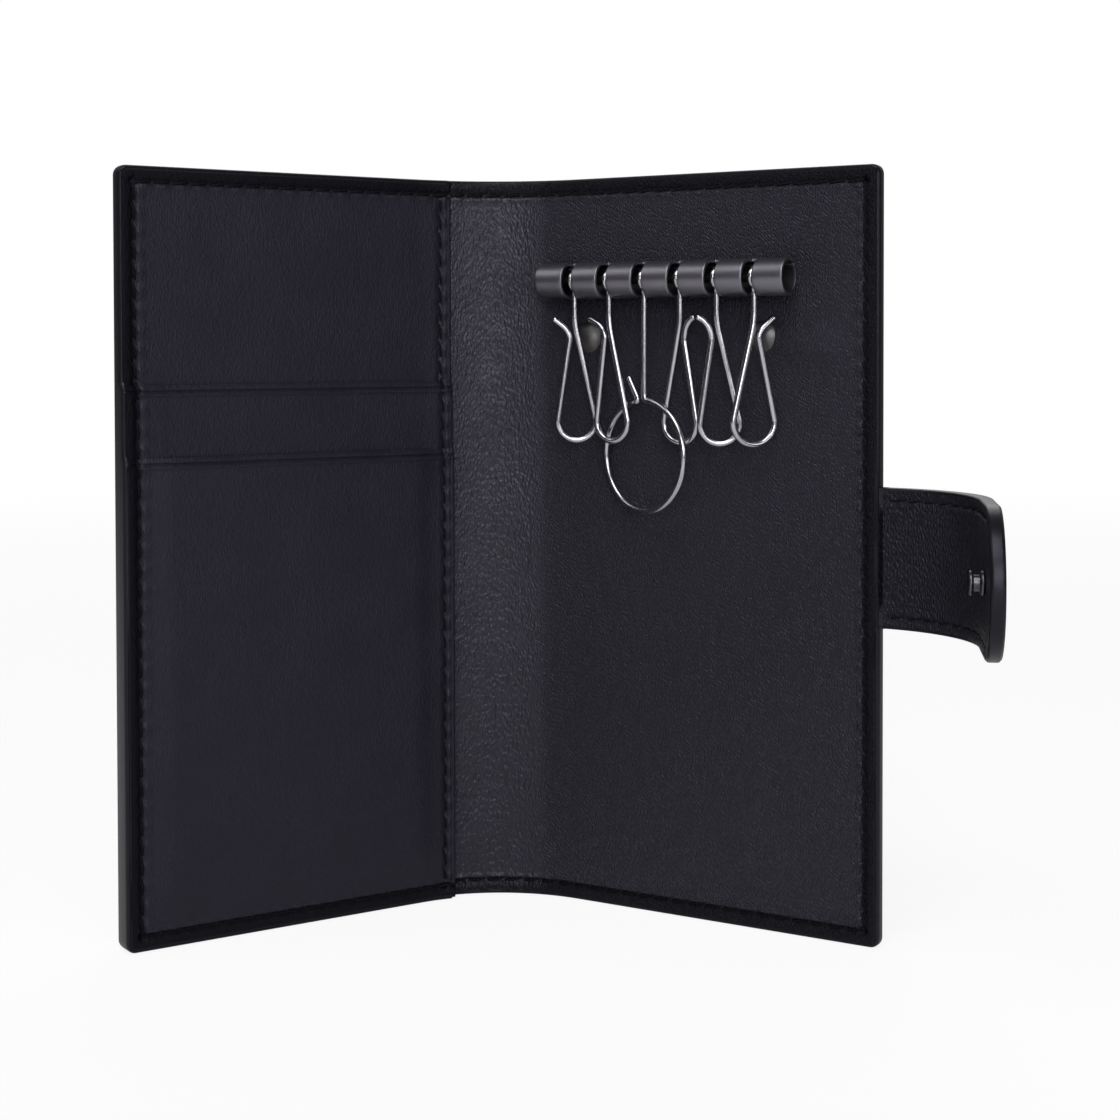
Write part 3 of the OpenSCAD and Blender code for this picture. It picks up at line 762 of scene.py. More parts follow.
def finishes(context):
    """Every material of the object, made once, by name."""
    made = bpy.data.materials
    if "Edge_paint_burnished" in made:
        return {m.name: m for m in made}
    k, f = context.scene.key_case_sizes, context.scene.key_case_finish
    c = case_places(k)
    # The lining's grain is drawn up over the fold and settles on the flats
    fold = (4 * MM, 8.5 * MM, c["panel"] + 4 * MM, c["panel"] + 9 * MM, 0.5)
    # Within the seam inset of the edges the leathers are painted darker, as painted shade
    edges = (c["back_edge"], c["front_edge"], c["h"], k.seam_inset - 0.3 * MM)
    leather_material(
        "Nappa_lining_grained", f.lining, 0.75 * MM, 0.2 * MM, 0.46, fold=fold, edges=edges
    )
    # The card leather is nearly smooth, the outer calf smoother still and a little glossier
    leather_material(
        "Nappa_card_leather_smooth", f.panel, 0.6 * MM, 0.09 * MM, 0.47, specular=0.25, edges=edges
    )
    leather_material("Calf_outer_leather_smooth", f.calf, 0.5 * MM, 0.02 * MM, 0.42, specular=0.35)
    # The strap's lining stays pebbled all over
    leather_material(
        "Nappa_strap_lining_pebbled", f.lining, 0.7 * MM, 0.3 * MM, 0.5, 0.22, fine=0.5, pebble=0.9
    )
    paint_material("Edge_paint_burnished", f.paint)
    thread_material("Thread_polyester_waxed", f.thread)
    # Dark grey plating over rolled sheet is satin, over drawn wire it is brighter and sharper
    metal_material("Gunmetal_plate_rolled_satin", f.gunmetal, 0.38, 0.05 * MM, turned=True)
    metal_material("Ruthenium_plated_wire_drawn", f.ruthenium, 0.2, 0.08 * MM)
    metal_material("Gunmetal_plated_snap_turned", scaled(f.gunmetal, 0.55), 0.32, 0.08 * MM)
    metal_material("Gunmetal_plated_rivet_domed", f.steel, 0.42, 0.08 * MM)
    # Blackened steel stays dark; the inside of the roll is painted darker, as painted shade
    metal_material("Steel_rod_blackened", scaled(f.steel, 0.25), 0.5, 0.08 * MM)
    metal_material("Steel_sheet_inside_of_roll", scaled(f.gunmetal, 0.3), 0.5, 0.05 * MM)
    board_material("Leather_board_bonded")
    return {m.name: m for m in made}


# Pieces of the case


def corner_reach(k, edge, s):
    """How far the rounded corner at a fore-edge takes the outline in from top and bottom."""
    into = np.clip(k.corner_r - np.abs(edge - s), 0, k.corner_r)
    return k.corner_r - np.sqrt(np.maximum(k.corner_r**2 - into**2, 0))


# The leathers stop this far inside the edge paint
EDGE_HIDE = 0.4 * MM


def outline(k, edge, top=None):
    """Lower and upper limit of a sheet at a distance along the case; a pocket has its own top."""
    h = case_places(k)["h"]

    def low(s):
        return corner_reach(k, edge, s) + EDGE_HIDE

    def high(s):
        if top is not None:
            return np.full_like(s, top)
        return h - corner_reach(k, edge, s) - EDGE_HIDE

    return low, high


def level_face(r):
    """A face that keeps one distance from the curve's centre."""
    return lambda s, z: np.full_like(s, r)


def half_lines(k, start, end, edge, extra=()):
    """Grid lines along one half of the case, finer by the seams and the rounded corner."""
    i = k.seam_inset
    near = edge + i if edge < 0 else edge - i
    bands = [(near, 1.6 * MM, 0.24 * MM), (edge, 1.2 * MM, 0.3 * MM), *extra]
    return lines(start, end, 0.85 * MM, *bands)


def height_lines(k, low, high, extra=()):
    c = case_places(k)
    i = k.seam_inset
    bands = [(i, 1.5 * MM, 0.24 * MM), (c["h"] - i, 1.5 * MM, 0.24 * MM), *extra]
    return lines(low, high, 0.5 * MM, *bands)


def fold_ends(k, which):
    """Start and end of the bend across a fold line, on the hinge's radius."""
    strip = case_strip(k)
    c = case_places(k)
    fold = k.back_roll if which == "back" else k.back_roll + k.spine_w
    reach = 5.5 * MM
    r = k.fold_r + (k.outer_t + k.board_t + k.lining_t) / 2
    z = c["h"] / 2
    return [tuple(float(v) for v in strip.at(fold + d, r, z)) for d in (-reach, reach)]


def bend_case(k, obj, which):
    start, end = fold_ends(k, which)
    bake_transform(obj)


def lining_height(k, seams):
    """Height of the lining above its plain face, as a function of place."""
    c = case_places(k)
    sway = waves(SEED, 14, 26 * MM, 7 * MM)
    pleats = waves(SEED + 1, 10, 3.2 * MM, 1.6 * MM)
    wrinkles = waves(SEED + 2, 8, 14 * MM, 5 * MM)

    def height(s, z):
        h = seams(s, z)
        h = h + 0.05 * MM * sway(s, z) * smooth(np.minimum(z, c["h"] - z), 3 * MM, 10 * MM)
        # Short pleats across the fold, gathered by the seams at its top and bottom
        near = np.exp(-((np.minimum(z, c["h"] - z) / (4.5 * MM)) ** 2))
        curve = smooth(s, -9 * MM, 2 * MM) * (1 - smooth(s, c["arc"] - 2 * MM, c["arc"] + 8 * MM))
        h = h + 0.045 * MM * near * curve * pleats(s, z * 0.12)
        # Slanting wrinkles by the fore-edge, beside the end of the rail
        u, v = s - (c["back_edge"] + 9 * MM), z - (c["h"] - 16 * MM)
        spot = np.exp(-((u / (9 * MM)) ** 2) - (v / (15 * MM)) ** 2)
        slanted = np.sin((u * 0.85 - v * 0.55) / (2.6 * MM) * 2 * math.pi + wrinkles(s, z) * 1.4)
        h = h + 0.05 * MM * spot * slanted
        # The rail's plate draws the lining in at its end, and it puffs up below
        dent = np.exp(-(((u - 4.5 * MM) / (3 * MM)) ** 2) - (v / (3.5 * MM)) ** 2)
        puff = np.exp(-(((u - 2 * MM) / (5 * MM)) ** 2) - ((v + 11.5 * MM) / (3.8 * MM)) ** 2)
        h = h + 1.5 * MM * puff - 0.5 * MM * dent
        return h

    return height


def front_stack(k, seams):
    """Distances of the front cover's faces from the curve's centre: panel, rear and front pocket.

    Each goes with the seams' relief, and the pockets lie closer where they are sewn down."""
    c = case_places(k)
    base = k.fold_r - k.panel_t

    def loose(s, z):
        side = smooth(s, c["panel"] + 3 * MM, c["panel"] + 8 * MM)
        side = side * (1 - smooth(s, c["front_edge"] - 8 * MM, c["front_edge"] - 3 * MM))
        return side * smooth(z, 3 * MM, 9 * MM)

    sway = waves(SEED + 4, 12, 40 * MM, 12 * MM)

    def panel(s, z):
        inner = smooth(z, 3 * MM, 9 * MM) * (1 - smooth(z, c["h"] - 9 * MM, c["h"] - 3 * MM))
        return base - seams(s, z) - 0.05 * MM * inner * sway(s, z)

    def rear(s, z):
        # The front pocket's sewn side shows through as a faint step by the fore-edge
        step = smooth(s, c["front_edge"] - 7.1 * MM, c["front_edge"] - 6.6 * MM) * 0.1 * MM
        thick = k.pocket_t + k.pocket_gap
        return panel(s, z) - thick - step

    def front(s, z):
        thin = k.pocket_t - 0.2 * MM
        return panel(s, z) - (k.pocket_t + k.pocket_gap) - thin - 0.5 * MM * loose(s, z)

    return panel, rear, front


def crease(z, top):
    """The heated line that runs a little below a pocket's upper edge, and the edge's soft roll."""
    d = top - z
    groove = 0.26 * MM * np.exp(-(((d - 1.0 * MM) / (0.24 * MM)) ** 2))
    beads = 0.22 * MM * np.exp(-(((d - 1.5 * MM) / (0.28 * MM)) ** 2))
    roll = 0.4 * MM * np.clip(1 - d / (0.75 * MM), 0, 1) ** 1.7
    return groove - beads + roll


def case_halves(k):
    """Of each half of the case: its cover, the ends of its leathers, its fore-edge and its seams."""
    c = case_places(k)
    back, front, _ = case_seams(k)
    return (
        ("back", c["back_edge"] + EDGE_HIDE, c["middle"], c["back_edge"], back),
        ("front", c["middle"], c["front_edge"] - EDGE_HIDE, c["front_edge"], front),
    )


def case_half(k, half, piece, faces, material):
    """Makes one half of a leather that runs through the whole case."""
    cover, start, end, edge, _ = half
    obj = shell(
        f"{piece}_{cover}_half",
        case_strip(k),
        half_lines(k, start, end, edge),
        height_lines(k, EDGE_HIDE, case_places(k)["h"] - EDGE_HIDE),
        *outline(k, edge),
        *faces,
        [material],
    )
    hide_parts(f"{cover}_{piece}", f"spine_{piece}")
    bend_case(k, obj, cover)


class KEYCASE_OT_lining(bpy.types.Operator):
    """Makes the grained lining of both covers and the spine, in two halves"""

    bl_idname = "keycase.lining"
    bl_label = "Lining"

    def execute(self, context):
        k = context.scene.key_case_sizes
        material = finishes(context)["Nappa_lining_grained"]
        r_back = k.fold_r + k.lining_t + k.board_t
        for half in case_halves(k):
            height = lining_height(k, sum_relief(half[-1]))
            faces = (lambda s, z: k.fold_r - height(s, z), level_face(r_back))
            case_half(k, half, "lining", faces, material)
        return {"FINISHED"}


class KEYCASE_OT_outer_leather(bpy.types.Operator):
    """Makes the smooth outer leather, in two halves"""

    bl_idname = "keycase.outer_leather"
    bl_label = "Outer leather"

    def execute(self, context):
        k = context.scene.key_case_sizes
        material = finishes(context)["Calf_outer_leather_smooth"]
        r_in = k.fold_r + k.lining_t + k.board_t
        r_out = r_in + k.outer_t
        for half in case_halves(k):
            relief = sum_relief(half[-1])
            faces = (level_face(r_in + 0.02 * MM), lambda s, z: r_out + 0.7 * relief(s, z))
            case_half(k, half, "outer_leather", faces, material)
        return {"FINISHED"}


class KEYCASE_OT_card_pockets(bpy.types.Operator):
    """Makes the card panel and the two card pockets on the front cover"""

    bl_idname = "keycase.card_pockets"
    bl_label = "Card pockets"

    def execute(self, context):
        k = context.scene.key_case_sizes
        made, c, strip = finishes(context), case_places(k), case_strip(k)
        _, front, panel_seam = case_seams(k)
        leather, paint = made["Nappa_card_leather_smooth"], made["Edge_paint_burnished"]
        seams = sum_relief([*front, panel_seam])
        panel, rear, front_face = front_stack(k, seams)
        edge = c["front_edge"]
        # Finer grid lines by the panel's seam, its side and the step of the front pocket's side
        fine_bands = [
            (panel_seam.place, 1.4 * MM, 0.22 * MM),
            (c["panel"], 0.5 * MM, 0.15 * MM),
            (edge - 6.85 * MM, 0.5 * MM, 0.16 * MM),
        ]

        def edge_round(face, thick):
            """Rounds the sheet's side that faces the spine."""

            def rounded(s, z):
                d = np.clip((s - c["panel"]) / thick, 0, 1)
                return face(s, z) + thick * 0.75 * (1 - np.sqrt(np.clip(1 - (1 - d) ** 2, 0, 1)))

            return rounded

        layers = (
            ("card_panel_leather", c["h"] - EDGE_HIDE, panel, k.panel_t, 0.5 * MM, "card_panel"),
            ("rear_pocket_leather", k.rear_top, rear, k.pocket_t, k.pocket_t, "rear_card_pocket"),
            ("front_pocket_leather", k.front_top, front_face, k.pocket_t, 0.4 * MM,
             "front_card_pocket"),
        )
        for name, top, face, thick, corner, node in layers:
            whole = node == "card_panel"
            height = (lambda z: 0 * z) if whole else (lambda z, top=top: crease(z, top))

            def front_of(s, z, face=face, height=height, corner=corner):
                return edge_round(face, corner)(s, z) + height(z)

            def back_of(s, z, face=face, thick=thick, whole=whole):
                if whole:
                    return np.full_like(s, k.fold_r)
                return face(s, z) + thick

            extra = [] if whole else [(top, 2.2 * MM, 0.1 * MM)]
            obj = shell(
                name,
                strip,
                half_lines(k, c["panel"], edge - EDGE_HIDE, edge, fine_bands),
                height_lines(k, EDGE_HIDE, top, extra),
                *outline(k, edge, None if whole else top),
                front_of,
                back_of,
                [leather, leather, paint],
            )
            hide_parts(node)
            bend_case(k, obj, "front")
        return {"FINISHED"}


def perimeter(k, middle, edge, side):
    """Outline of one half of the case, from mid-spine round the fore-edge and back."""
    h, r = case_places(k)["h"], k.corner_r
    step = 0.6 * MM
    run = np.linspace(middle, edge - side * r, max(8, int(abs(edge - middle) / step)))
    rise = np.linspace(r, h - r, int(h / step))
    arc = np.linspace(0, math.pi / 2, 7)[1:-1]
    bottom = [(s, 0.0) for s in run]
    low_corner = [(edge - side * r + side * r * math.sin(a), r - r * math.cos(a)) for a in arc]
    fore = [(edge, z) for z in rise]
    path = bottom + low_corner + fore
    path += [(s, h - z) for s, z in reversed(low_corner)] + [(s, h) for s in run[::-1]]
    return path if side > 0 else path[::-1]


class KEYCASE_OT_edge_paint(bpy.types.Operator):
    """Paints the covers' edges: a rounded, burnished band that follows the stack of leathers"""

    bl_idname = "keycase.edge_paint"
    bl_label = "Edge paint"

    def execute(self, context):
        k = context.scene.key_case_sizes
        made, c, strip = finishes(context), case_places(k), case_strip(k)
        paint = made["Edge_paint_burnished"]
        outer_r = k.fold_r + k.outer_t + k.board_t + k.lining_t

        def inner_front(s, z):
            """The stack's inner face along the front cover's edges."""
            blend = 0.7 * MM
            on_panel = smooth(s, c["panel"] - 0.1 * MM, c["panel"] + 0.4 * MM)
            r = k.fold_r - k.panel_t * on_panel
            in_rear = 1 - smooth(z, k.rear_top - blend, k.rear_top + blend)
            in_front = 1 - smooth(z, k.front_top - blend, k.front_top + blend)
            r = r - on_panel * in_rear * (k.pocket_t + k.pocket_gap)
            return r - on_panel * in_front * (k.pocket_t - 0.2 * MM)

        for name, edge, side, inner, which in (
            ("edge_paint_back_half", c["back_edge"], -1, level_face(k.fold_r), "back"),
            ("edge_paint_front_half", c["front_edge"], 1, inner_front, "front"),
        ):
            obj = ribbon(
                name,
                strip,
                perimeter(k, c["middle"], edge, side),
                inner,
                level_face(outer_r),
                k.arris_r,
                paint,
            )
            bend_case(k, obj, which)
        return {"FINISHED"}


# Stitches


def stitch_tree(material):
    """Geometry nodes that lay one stitch on each point of a sewing line.

    A point carries its face's direction (up) and the seam's (along)."""
    tree = bpy.data.node_groups.new("Stitches along a seam", "GeometryNodeTree")
    tree.is_modifier = True
    face = tree.interface
    face.new_socket("Geometry", in_out="INPUT", socket_type="NodeSocketGeometry")
    for name, value in (
        ("Thread diameter", 0.5 * MM),
        ("Stitch length", 2.6 * MM),
        ("Arch", 0.25 * MM),
        ("Slant", math.radians(9)),
        ("Unevenness", math.radians(3)),
    ):
        socket = face.new_socket(name, in_out="INPUT", socket_type="NodeSocketFloat")
        socket.default_value = value
    seed = face.new_socket("Seed", in_out="INPUT", socket_type="NodeSocketInt")
    seed.default_value = SEED
    face.new_socket("Geometry", in_out="OUTPUT", socket_type="NodeSocketGeometry")
    entry = tree.nodes.new("NodeGroupInput")
    leave = tree.nodes.new("NodeGroupOutput")

    add = adder(tree)
    half, minus, radius, sink = [
        add("ShaderNodeMath", TIMES, {1: share}, {0: (entry, size)})
        for share, size in (
            (0.5, "Stitch length"),
            (-0.5, "Stitch length"),
            (0.5, "Thread diameter"),
            (-0.9, "Thread diameter"),
        )
    ]
    first = add("ShaderNodeCombineXYZ", {}, {}, {"X": (minus, "Value"), "Z": (sink, "Value")})
    peak = add("ShaderNodeCombineXYZ", {}, {}, {"Z": (entry, "Arch")})
    last = add("ShaderNodeCombineXYZ", {}, {}, {"X": (half, "Value"), "Z": (sink, "Value")})
    bow = add(
        "GeometryNodeCurveQuadraticBezier",
        {},
        {"Resolution": 7},
        {"Start": (first, "Vector"), "Middle": (peak, "Vector"), "End": (last, "Vector")},
    )
    ring = add("GeometryNodeCurvePrimitiveCircle", {}, {"Resolution": 6}, {"Radius": (radius, "Value")})
    thread = add(
        "GeometryNodeCurveToMesh",
        {},
        {"Fill Caps": True},
        {"Curve": (bow, "Curve"), "Profile Curve": (ring, "Curve")},
    )
    up = add("GeometryNodeInputNamedAttribute", {"data_type": "FLOAT_VECTOR"}, {"Name": "up"})
    along = add("GeometryNodeInputNamedAttribute", {"data_type": "FLOAT_VECTOR"}, {"Name": "along"})
    stand = add(
        "FunctionNodeAlignRotationToVector", {"axis": "Z"}, {}, {"Vector": (up, "Attribute")}
    )
    lie = add(
        "FunctionNodeAlignRotationToVector",
        {"axis": "X", "pivot_axis": "Z"},
        {},
        {"Rotation": (stand, "Rotation"), "Vector": (along, "Attribute")},
    )
    chance = add(
        "FunctionNodeRandomValue", {"data_type": "FLOAT"}, {2: -1.0, 3: 1.0}, {8: (entry, "Seed")}
    )
    uneven = add(
        "ShaderNodeMath",
        TIMES_PLUS,
        {},
        {0: (chance, 1), 1: (entry, "Unevenness"), 2: (entry, "Slant")},
    )
    lean = add("ShaderNodeCombineXYZ", {}, {}, {"Z": (uneven, "Value")})
    slant = add("FunctionNodeEulerToRotation", {}, {}, {"Euler": (lean, "Vector")})
    turn = add(
        "FunctionNodeRotateRotation",
        {"rotation_space": "LOCAL"},
        {},
        {"Rotation": (lie, "Rotation"), "Rotate By": (slant, "Rotation")},
    )
    points = add("GeometryNodeMeshToPoints", {}, {}, {"Mesh": (entry, "Geometry")})
    copies = add(
        "GeometryNodeInstanceOnPoints",
        {},
        {},
        {"Points": (points, "Points"), "Instance": (thread, "Mesh"), "Rotation": (turn, "Rotation")},
    )
    real = add("GeometryNodeRealizeInstances", {}, {}, {"Geometry": (copies, "Instances")})
    coat = add(
        "GeometryNodeSetMaterial", {}, {"Material": material}, {"Geometry": (real, "Geometry")}
    )
    tree.links.new(coat.outputs["Geometry"], leave.inputs["Geometry"])
    return tree


def lay_stitches(name, places, ups, alongs, tree, values):
    """Runs the stitch tree over a sewing line and keeps the result as a plain mesh."""
    mesh = bpy.data.meshes.new(name)
    mesh.from_pydata([tuple(p) for p in places], [], [])
    for key, vectors in (("up", ups), ("along", alongs)):
        attribute = mesh.attributes.new(key, "FLOAT_VECTOR", "POINT")
        attribute.data.foreach_set("vector", np.asarray(vectors, np.float32).ravel())
    guide = bpy.data.objects.new(name + "_guide", mesh)
    bpy.context.scene.collection.objects.link(guide)
    modifier = guide.modifiers.new("Stitches", "NODES")
    modifier.node_group = tree
    for item in tree.interface.items_tree:
        if item.item_type == "SOCKET" and item.in_out == "INPUT" and item.name in values:
            modifier[item.identifier] = values[item.name]
    bpy.context.view_layer.update()
    graph = bpy.context.evaluated_depsgraph_get()
    plain = bpy.data.meshes.new_from_object(guide.evaluated_get(graph))
    guide.modifiers.clear()
    bpy.data.objects.remove(guide)
    plain.name = name
    plain.shade_smooth()
    obj = bpy.data.objects.new(name, plain)
    bpy.context.scene.collection.objects.link(obj)
    return obj


def stitch_places(strip, seams, face, outside):
    """Places and directions of the stitches of some seams, on a face at a distance face(s, z)."""
    places, ups, alongs = [], [], []
    for seam in seams:
        spots = seam.stitches()
        s, z = spots[:, 0], spots[:, 1]
        places.append(strip.at(s, face(s, z), z))
        up = strip.inward(s)
        ups.append(-up if outside else up)
        if seam.way == "z":
            along = np.tile([0.0, 0.0, 1.0], (len(s), 1))
        else:
            ahead = strip.at(s + 0.1 * MM, face(s, z), z) - strip.at(s - 0.1 * MM, face(s, z), z)
            along = ahead / np.linalg.norm(ahead, axis=1)[:, None]
        alongs.append(along)
    return [np.concatenate(x) for x in (places, ups, alongs)]


class KEYCASE_OT_stitches(bpy.types.Operator):
    """Sews the covers: stitches along every seam, on the inside and on the outside"""

    bl_idname = "keycase.stitches"
    bl_label = "Stitches"

    def execute(self, context):
        k = context.scene.key_case_sizes
        made, c, strip = finishes(context), case_places(k), case_strip(k)
        tree = stitch_tree(made["Thread_polyester_waxed"])
        back, front, panel_seam = case_seams(k)
        # The leathers' plain faces, without the seams' relief; the thread sinks a little into them
        panel, rear, front_face = front_stack(k, level_face(0.0))
        sink = 0.14 * MM

        def inner_front(s, z):
            r = np.where(s > c["panel"], panel(s, z), k.fold_r)
            r = np.where((s > c["panel"]) & (z < k.rear_top), rear(s, z), r)
            r = np.where((s > c["panel"]) & (z < k.front_top), front_face(s, z), r)
            return r + sink

        outer_r = k.fold_r + k.outer_t + k.board_t + k.lining_t
        sizes = {"Thread diameter": k.thread_d, "Stitch length": k.stitch * 0.86}
        inside, outside = level_face(k.fold_r + sink), level_face(outer_r - sink)
        jobs = (
            ("stitches_back_inside", back, inside, False, "back"),
            ("stitches_back_outside", back, outside, True, "back"),
            ("stitches_front_inside", [*front, panel_seam], inner_front, False, "front"),
            ("stitches_front_outside", front, outside, True, "front"),
        )
        for name, seams, face, is_outside, which in jobs:
            places, ups, alongs = stitch_places(strip, seams, face, is_outside)
            obj = lay_stitches(name, places, ups, alongs, tree, sizes)
            bend_case(k, obj, which)
        return {"FINISHED"}


# The strap


def strap_outline(k, inset=0.0):
    low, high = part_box("strap_tongue")
    middle = (low.z + high.z) / 2
    half = k.strap_w / 2
    start = STRAP_ARC + STRAP_STRAIGHT

    def reach(s):
        d = np.clip(s - start, 0, half - inset)
        return np.sqrt(np.maximum((half - inset) ** 2 - d**2, 0))

    return middle, half, start, reach


STRAP_SEAM_INSET = 1.9 * MM


def strap_seams(k):
    middle, half, start, _ = strap_outline(k)
    low, high = middle - half + STRAP_SEAM_INSET, middle + half - STRAP_SEAM_INSET
    first, last = 0.2 * MM, start + 1 * MM
    depth, swell = 0.16 * MM, 0.07 * MM
    return [
        Seam("s", low, first, last, k.stitch, 1, depth, swell),
        Seam("s", high, first, last, k.stitch, -1, depth, swell),
    ]


def bend_strap(k, obj, which):
    strip = strap_strip(k)
    middle = strap_outline(k)[0]
    span = (-1.0 * MM, 8.5 * MM) if which == "root" else (STRAP_ROOT - 7 * MM, STRAP_ROOT + 7 * MM)
    start, end = [tuple(float(v) for v in strip.at(s, k.strap_r, middle)) for s in span]
    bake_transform(obj)


# Where the two lengths of the strap meet, between its bends
STRAP_SPLIT = 10.4 * MM


def strap_leathers(k, made, part, first, final):
    """The lining and the outer leather of one length of the strap."""
    strip = strap_strip(k)
    middle, half, start, _ = strap_outline(k)
    hide = 0.35 * MM
    trimmed = strap_outline(k, hide)[3]
    relief = sum_relief(strap_seams(k))
    r_in, r_out = k.strap_r - k.strap_leather_t, k.strap_r + k.strap_leather_t

    def low(s):
        return middle - trimmed(s)

    def high(s):
        return middle + trimmed(s)

    seam_places = (middle - half + STRAP_SEAM_INSET, middle + half - STRAP_SEAM_INSET)
    bands = [(place, 1.2 * MM, 0.25 * MM) for place in seam_places]
    z_lines = lines(middle - half + hide, middle + half - hide, 0.6 * MM, *bands)
    s_lines = lines(first, final, 0.5 * MM, (start + half, 2.5 * MM, 0.2 * MM))
    lining_faces = (lambda s, z: r_in - relief(s, z), level_face(k.strap_r))
    outer_faces = (level_face(k.strap_r + 0.01 * MM), lambda s, z: r_out + relief(s, z))
    for layer, slot, faces, material in (
        ("lining", "grained_lining", lining_faces, "Nappa_strap_lining_pebbled"),
        ("outer", "outer_leather", outer_faces, "Calf_outer_leather_smooth"),
    ):
        name = f"strap_{part}_{layer}_leather"
        obj = shell(name, strip, s_lines, z_lines, low, high, *faces, [made[material]])
        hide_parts(f"strap_{part}_{layer}")
        bend_strap(k, obj, part)


def strap_paint(k, made, part, first, final):
    """Edge paint along both sides of one length of the strap, and round its end."""
    middle, half, start, _ = strap_outline(k)
    straight = min(final, start)
    run = np.linspace(first, straight, max(6, int((straight - first) / (0.5 * MM))))
    lower = [(s, middle - half) for s in run]
    upper = [(s, middle + half) for s in run[::-1]]
    if part == "tip":
        turn = np.linspace(-math.pi / 2, math.pi / 2, 60)[1:-1]
        end = [(start + half * math.cos(a), middle + half * math.sin(a)) for a in turn]
        paths = {"": lower + end + upper}
    else:
        paths = {"_1": lower, "_2": upper}
    for suffix, path in paths.items():
        band = ribbon(
            f"strap_{part}_edge_paint{suffix}",
            strap_strip(k),
            path,
            level_face(k.strap_r - k.strap_leather_t),
            level_face(k.strap_r + k.strap_leather_t),
            0.45 * MM,
            made["Edge_paint_burnished"],
            0.3 * MM,
        )
        bend_strap(k, band, part)


def strap_stitches(k, part):
    """The stitches on both faces of one length of the strap."""
    tree = bpy.data.node_groups["Stitches along a seam"]
    seams = strap_seams(k)
    where = np.concatenate([seam.stitches()[:, 0] for seam in seams])
    mine = (where < STRAP_SPLIT) if part == "root" else (where >= STRAP_SPLIT)
    sizes = {"Thread diameter": k.thread_d * 0.8, "Stitch length": k.stitch * 0.84}
    sink = 0.1 * MM
    for side, r in (
        ("inside", k.strap_r - k.strap_leather_t + sink),
        ("outside", k.strap_r + k.strap_leather_t - sink),
    ):
        found = stitch_places(strap_strip(k), seams, level_face(r), side == "outside")
        places, ups, alongs = [part_of[mine] for part_of in found]
        obj = lay_stitches(f"strap_{part}_stitches_{side}", places, ups, alongs, tree, sizes)
        bend_strap(k, obj, part)


class KEYCASE_OT_strap(bpy.types.Operator):
    """Makes the strap: two leathers, painted edge and stitches, in two lengths"""

    bl_idname = "keycase.strap"
    bl_label = "Strap"

    def execute(self, context):
        k = context.scene.key_case_sizes
        made = finishes(context)
        _, half, start, _ = strap_outline(k)
        last = start + half - 0.6 * MM
        for part, first, final in (
            ("root", -STRAP_STUB, STRAP_SPLIT),
            ("tip", STRAP_SPLIT, last),
        ):
            strap_leathers(k, made, part, first, final)
            strap_paint(k, made, part, first, final)
            strap_stitches(k, part)
        return {"FINISHED"}


# Metal


RAIL_SLOTS = 6
HOOK_PITCH = 6.5 * MM
# Radius of a hook's eye about the rod, and where its stem runs straight below the rod's axis
EYE_R = 1.325 * MM
STEM_START = 3 * MM
# How far below the rod's axis a small hook's loop ends, its stem and gate end, and its lip ends
HOOK_DROP = 26 * MM
STEM_DROP = 6.9 * MM
GATE_DROP = 9.3 * MM
LIP_DROP = 6.1 * MM
# The gate's end beside the stem, and the radius of the lip's bend
GATE_OFFSET = 0.8 * MM
LIP_BEND = 3.1 * MM
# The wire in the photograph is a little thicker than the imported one: this much on its radius
WIRE_EXTRA = 0.045 * MM


def rail_place():
    """The rail's middle, on its axis."""
    low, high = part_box("rail_rod")
    return (low + high) / 2


def set_rivets(metal):
    """The two domed rivets, whose shanks go through the lining and the rail's plate."""
    low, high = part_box("rail_rivets")
    dome_r, dome_h, shank_r = 2.55 * MM, 1 * MM, 0.8 * MM
    face_y = low.y + dome_h
    ball = (dome_r**2 + dome_h**2) / 2 / dome_h
    profile = [(0, dome_h)]
    for a in np.linspace(0, math.asin(dome_r / ball), 14)[1:]:
        profile.append((ball * math.sin(a), ball * math.cos(a) - ball + dome_h))
    under, shank_end = -0.12 * MM, -(high.y - face_y)
    profile += [(dome_r - 0.05 * MM, under), (shank_r, under), (shank_r, shank_end), (0, shank_end)]
    upright = Matrix.Rotation(math.pi / 2, 4, "X")
    for number, x in enumerate((low.x + dome_r, high.x - dome_r), 1):
        place = Matrix.Translation((x, face_y, (low.z + high.z) / 2)) @ upright
        rivet = lathe(f"rivet_{number}", profile, place, metal)
        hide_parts("rail_rivets")
        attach(rivet, "back_cover")


# The rail's slots, and the web that joins the roll to its fixing plate
SLOT_W = 1.8 * MM
SLOT_BACK = 1.2 * MM
WEB_HALF = 17.95 * MM
# Where the sheet's edge ends behind the roll, and where the ends of the rail close over the top
SEAM_ANGLE = math.radians(48)
CLOSING_ANGLE = math.radians(56)


def rail_section(radius, plate_y):
    """The rail's sheet from the side: (y, z) places, and bands (from, to, kind) between them.

    The lines run in from the plate and along the top, at the rail's ends over the top, and then
    round the front to the seam."""
    back = math.acos(SLOT_BACK / radius)
    closing = np.linspace(CLOSING_ANGLE, math.pi / 2, 7)[:-1]
    front = np.linspace(math.pi / 2, 2 * math.pi - back, 41)
    rear = np.linspace(2 * math.pi - back, 2 * math.pi + SEAM_ANGLE, 18)[1:]
    places = [(y, radius) for y in (plate_y, 2.4 * MM, SLOT_BACK, 0.6 * MM)]
    places += [(radius * math.cos(a), radius * math.sin(a)) for a in (*closing, *front, *rear)]
    top = 4 + len(closing)
    slot_end = top + len(front) - 1
    bands = [(0, 1, "web"), (1, 2, "web"), (2, 3, "flat"), (3, top, "flat")]
    bands += [(j, j + 1, "end") for j in range(4, top)]
    bands += [(j, j + 1, "roll") for j in range(top, slot_end)]
    bands += [(j, j + 1, "back") for j in range(slot_end, len(places) - 1)]
    return places, bands


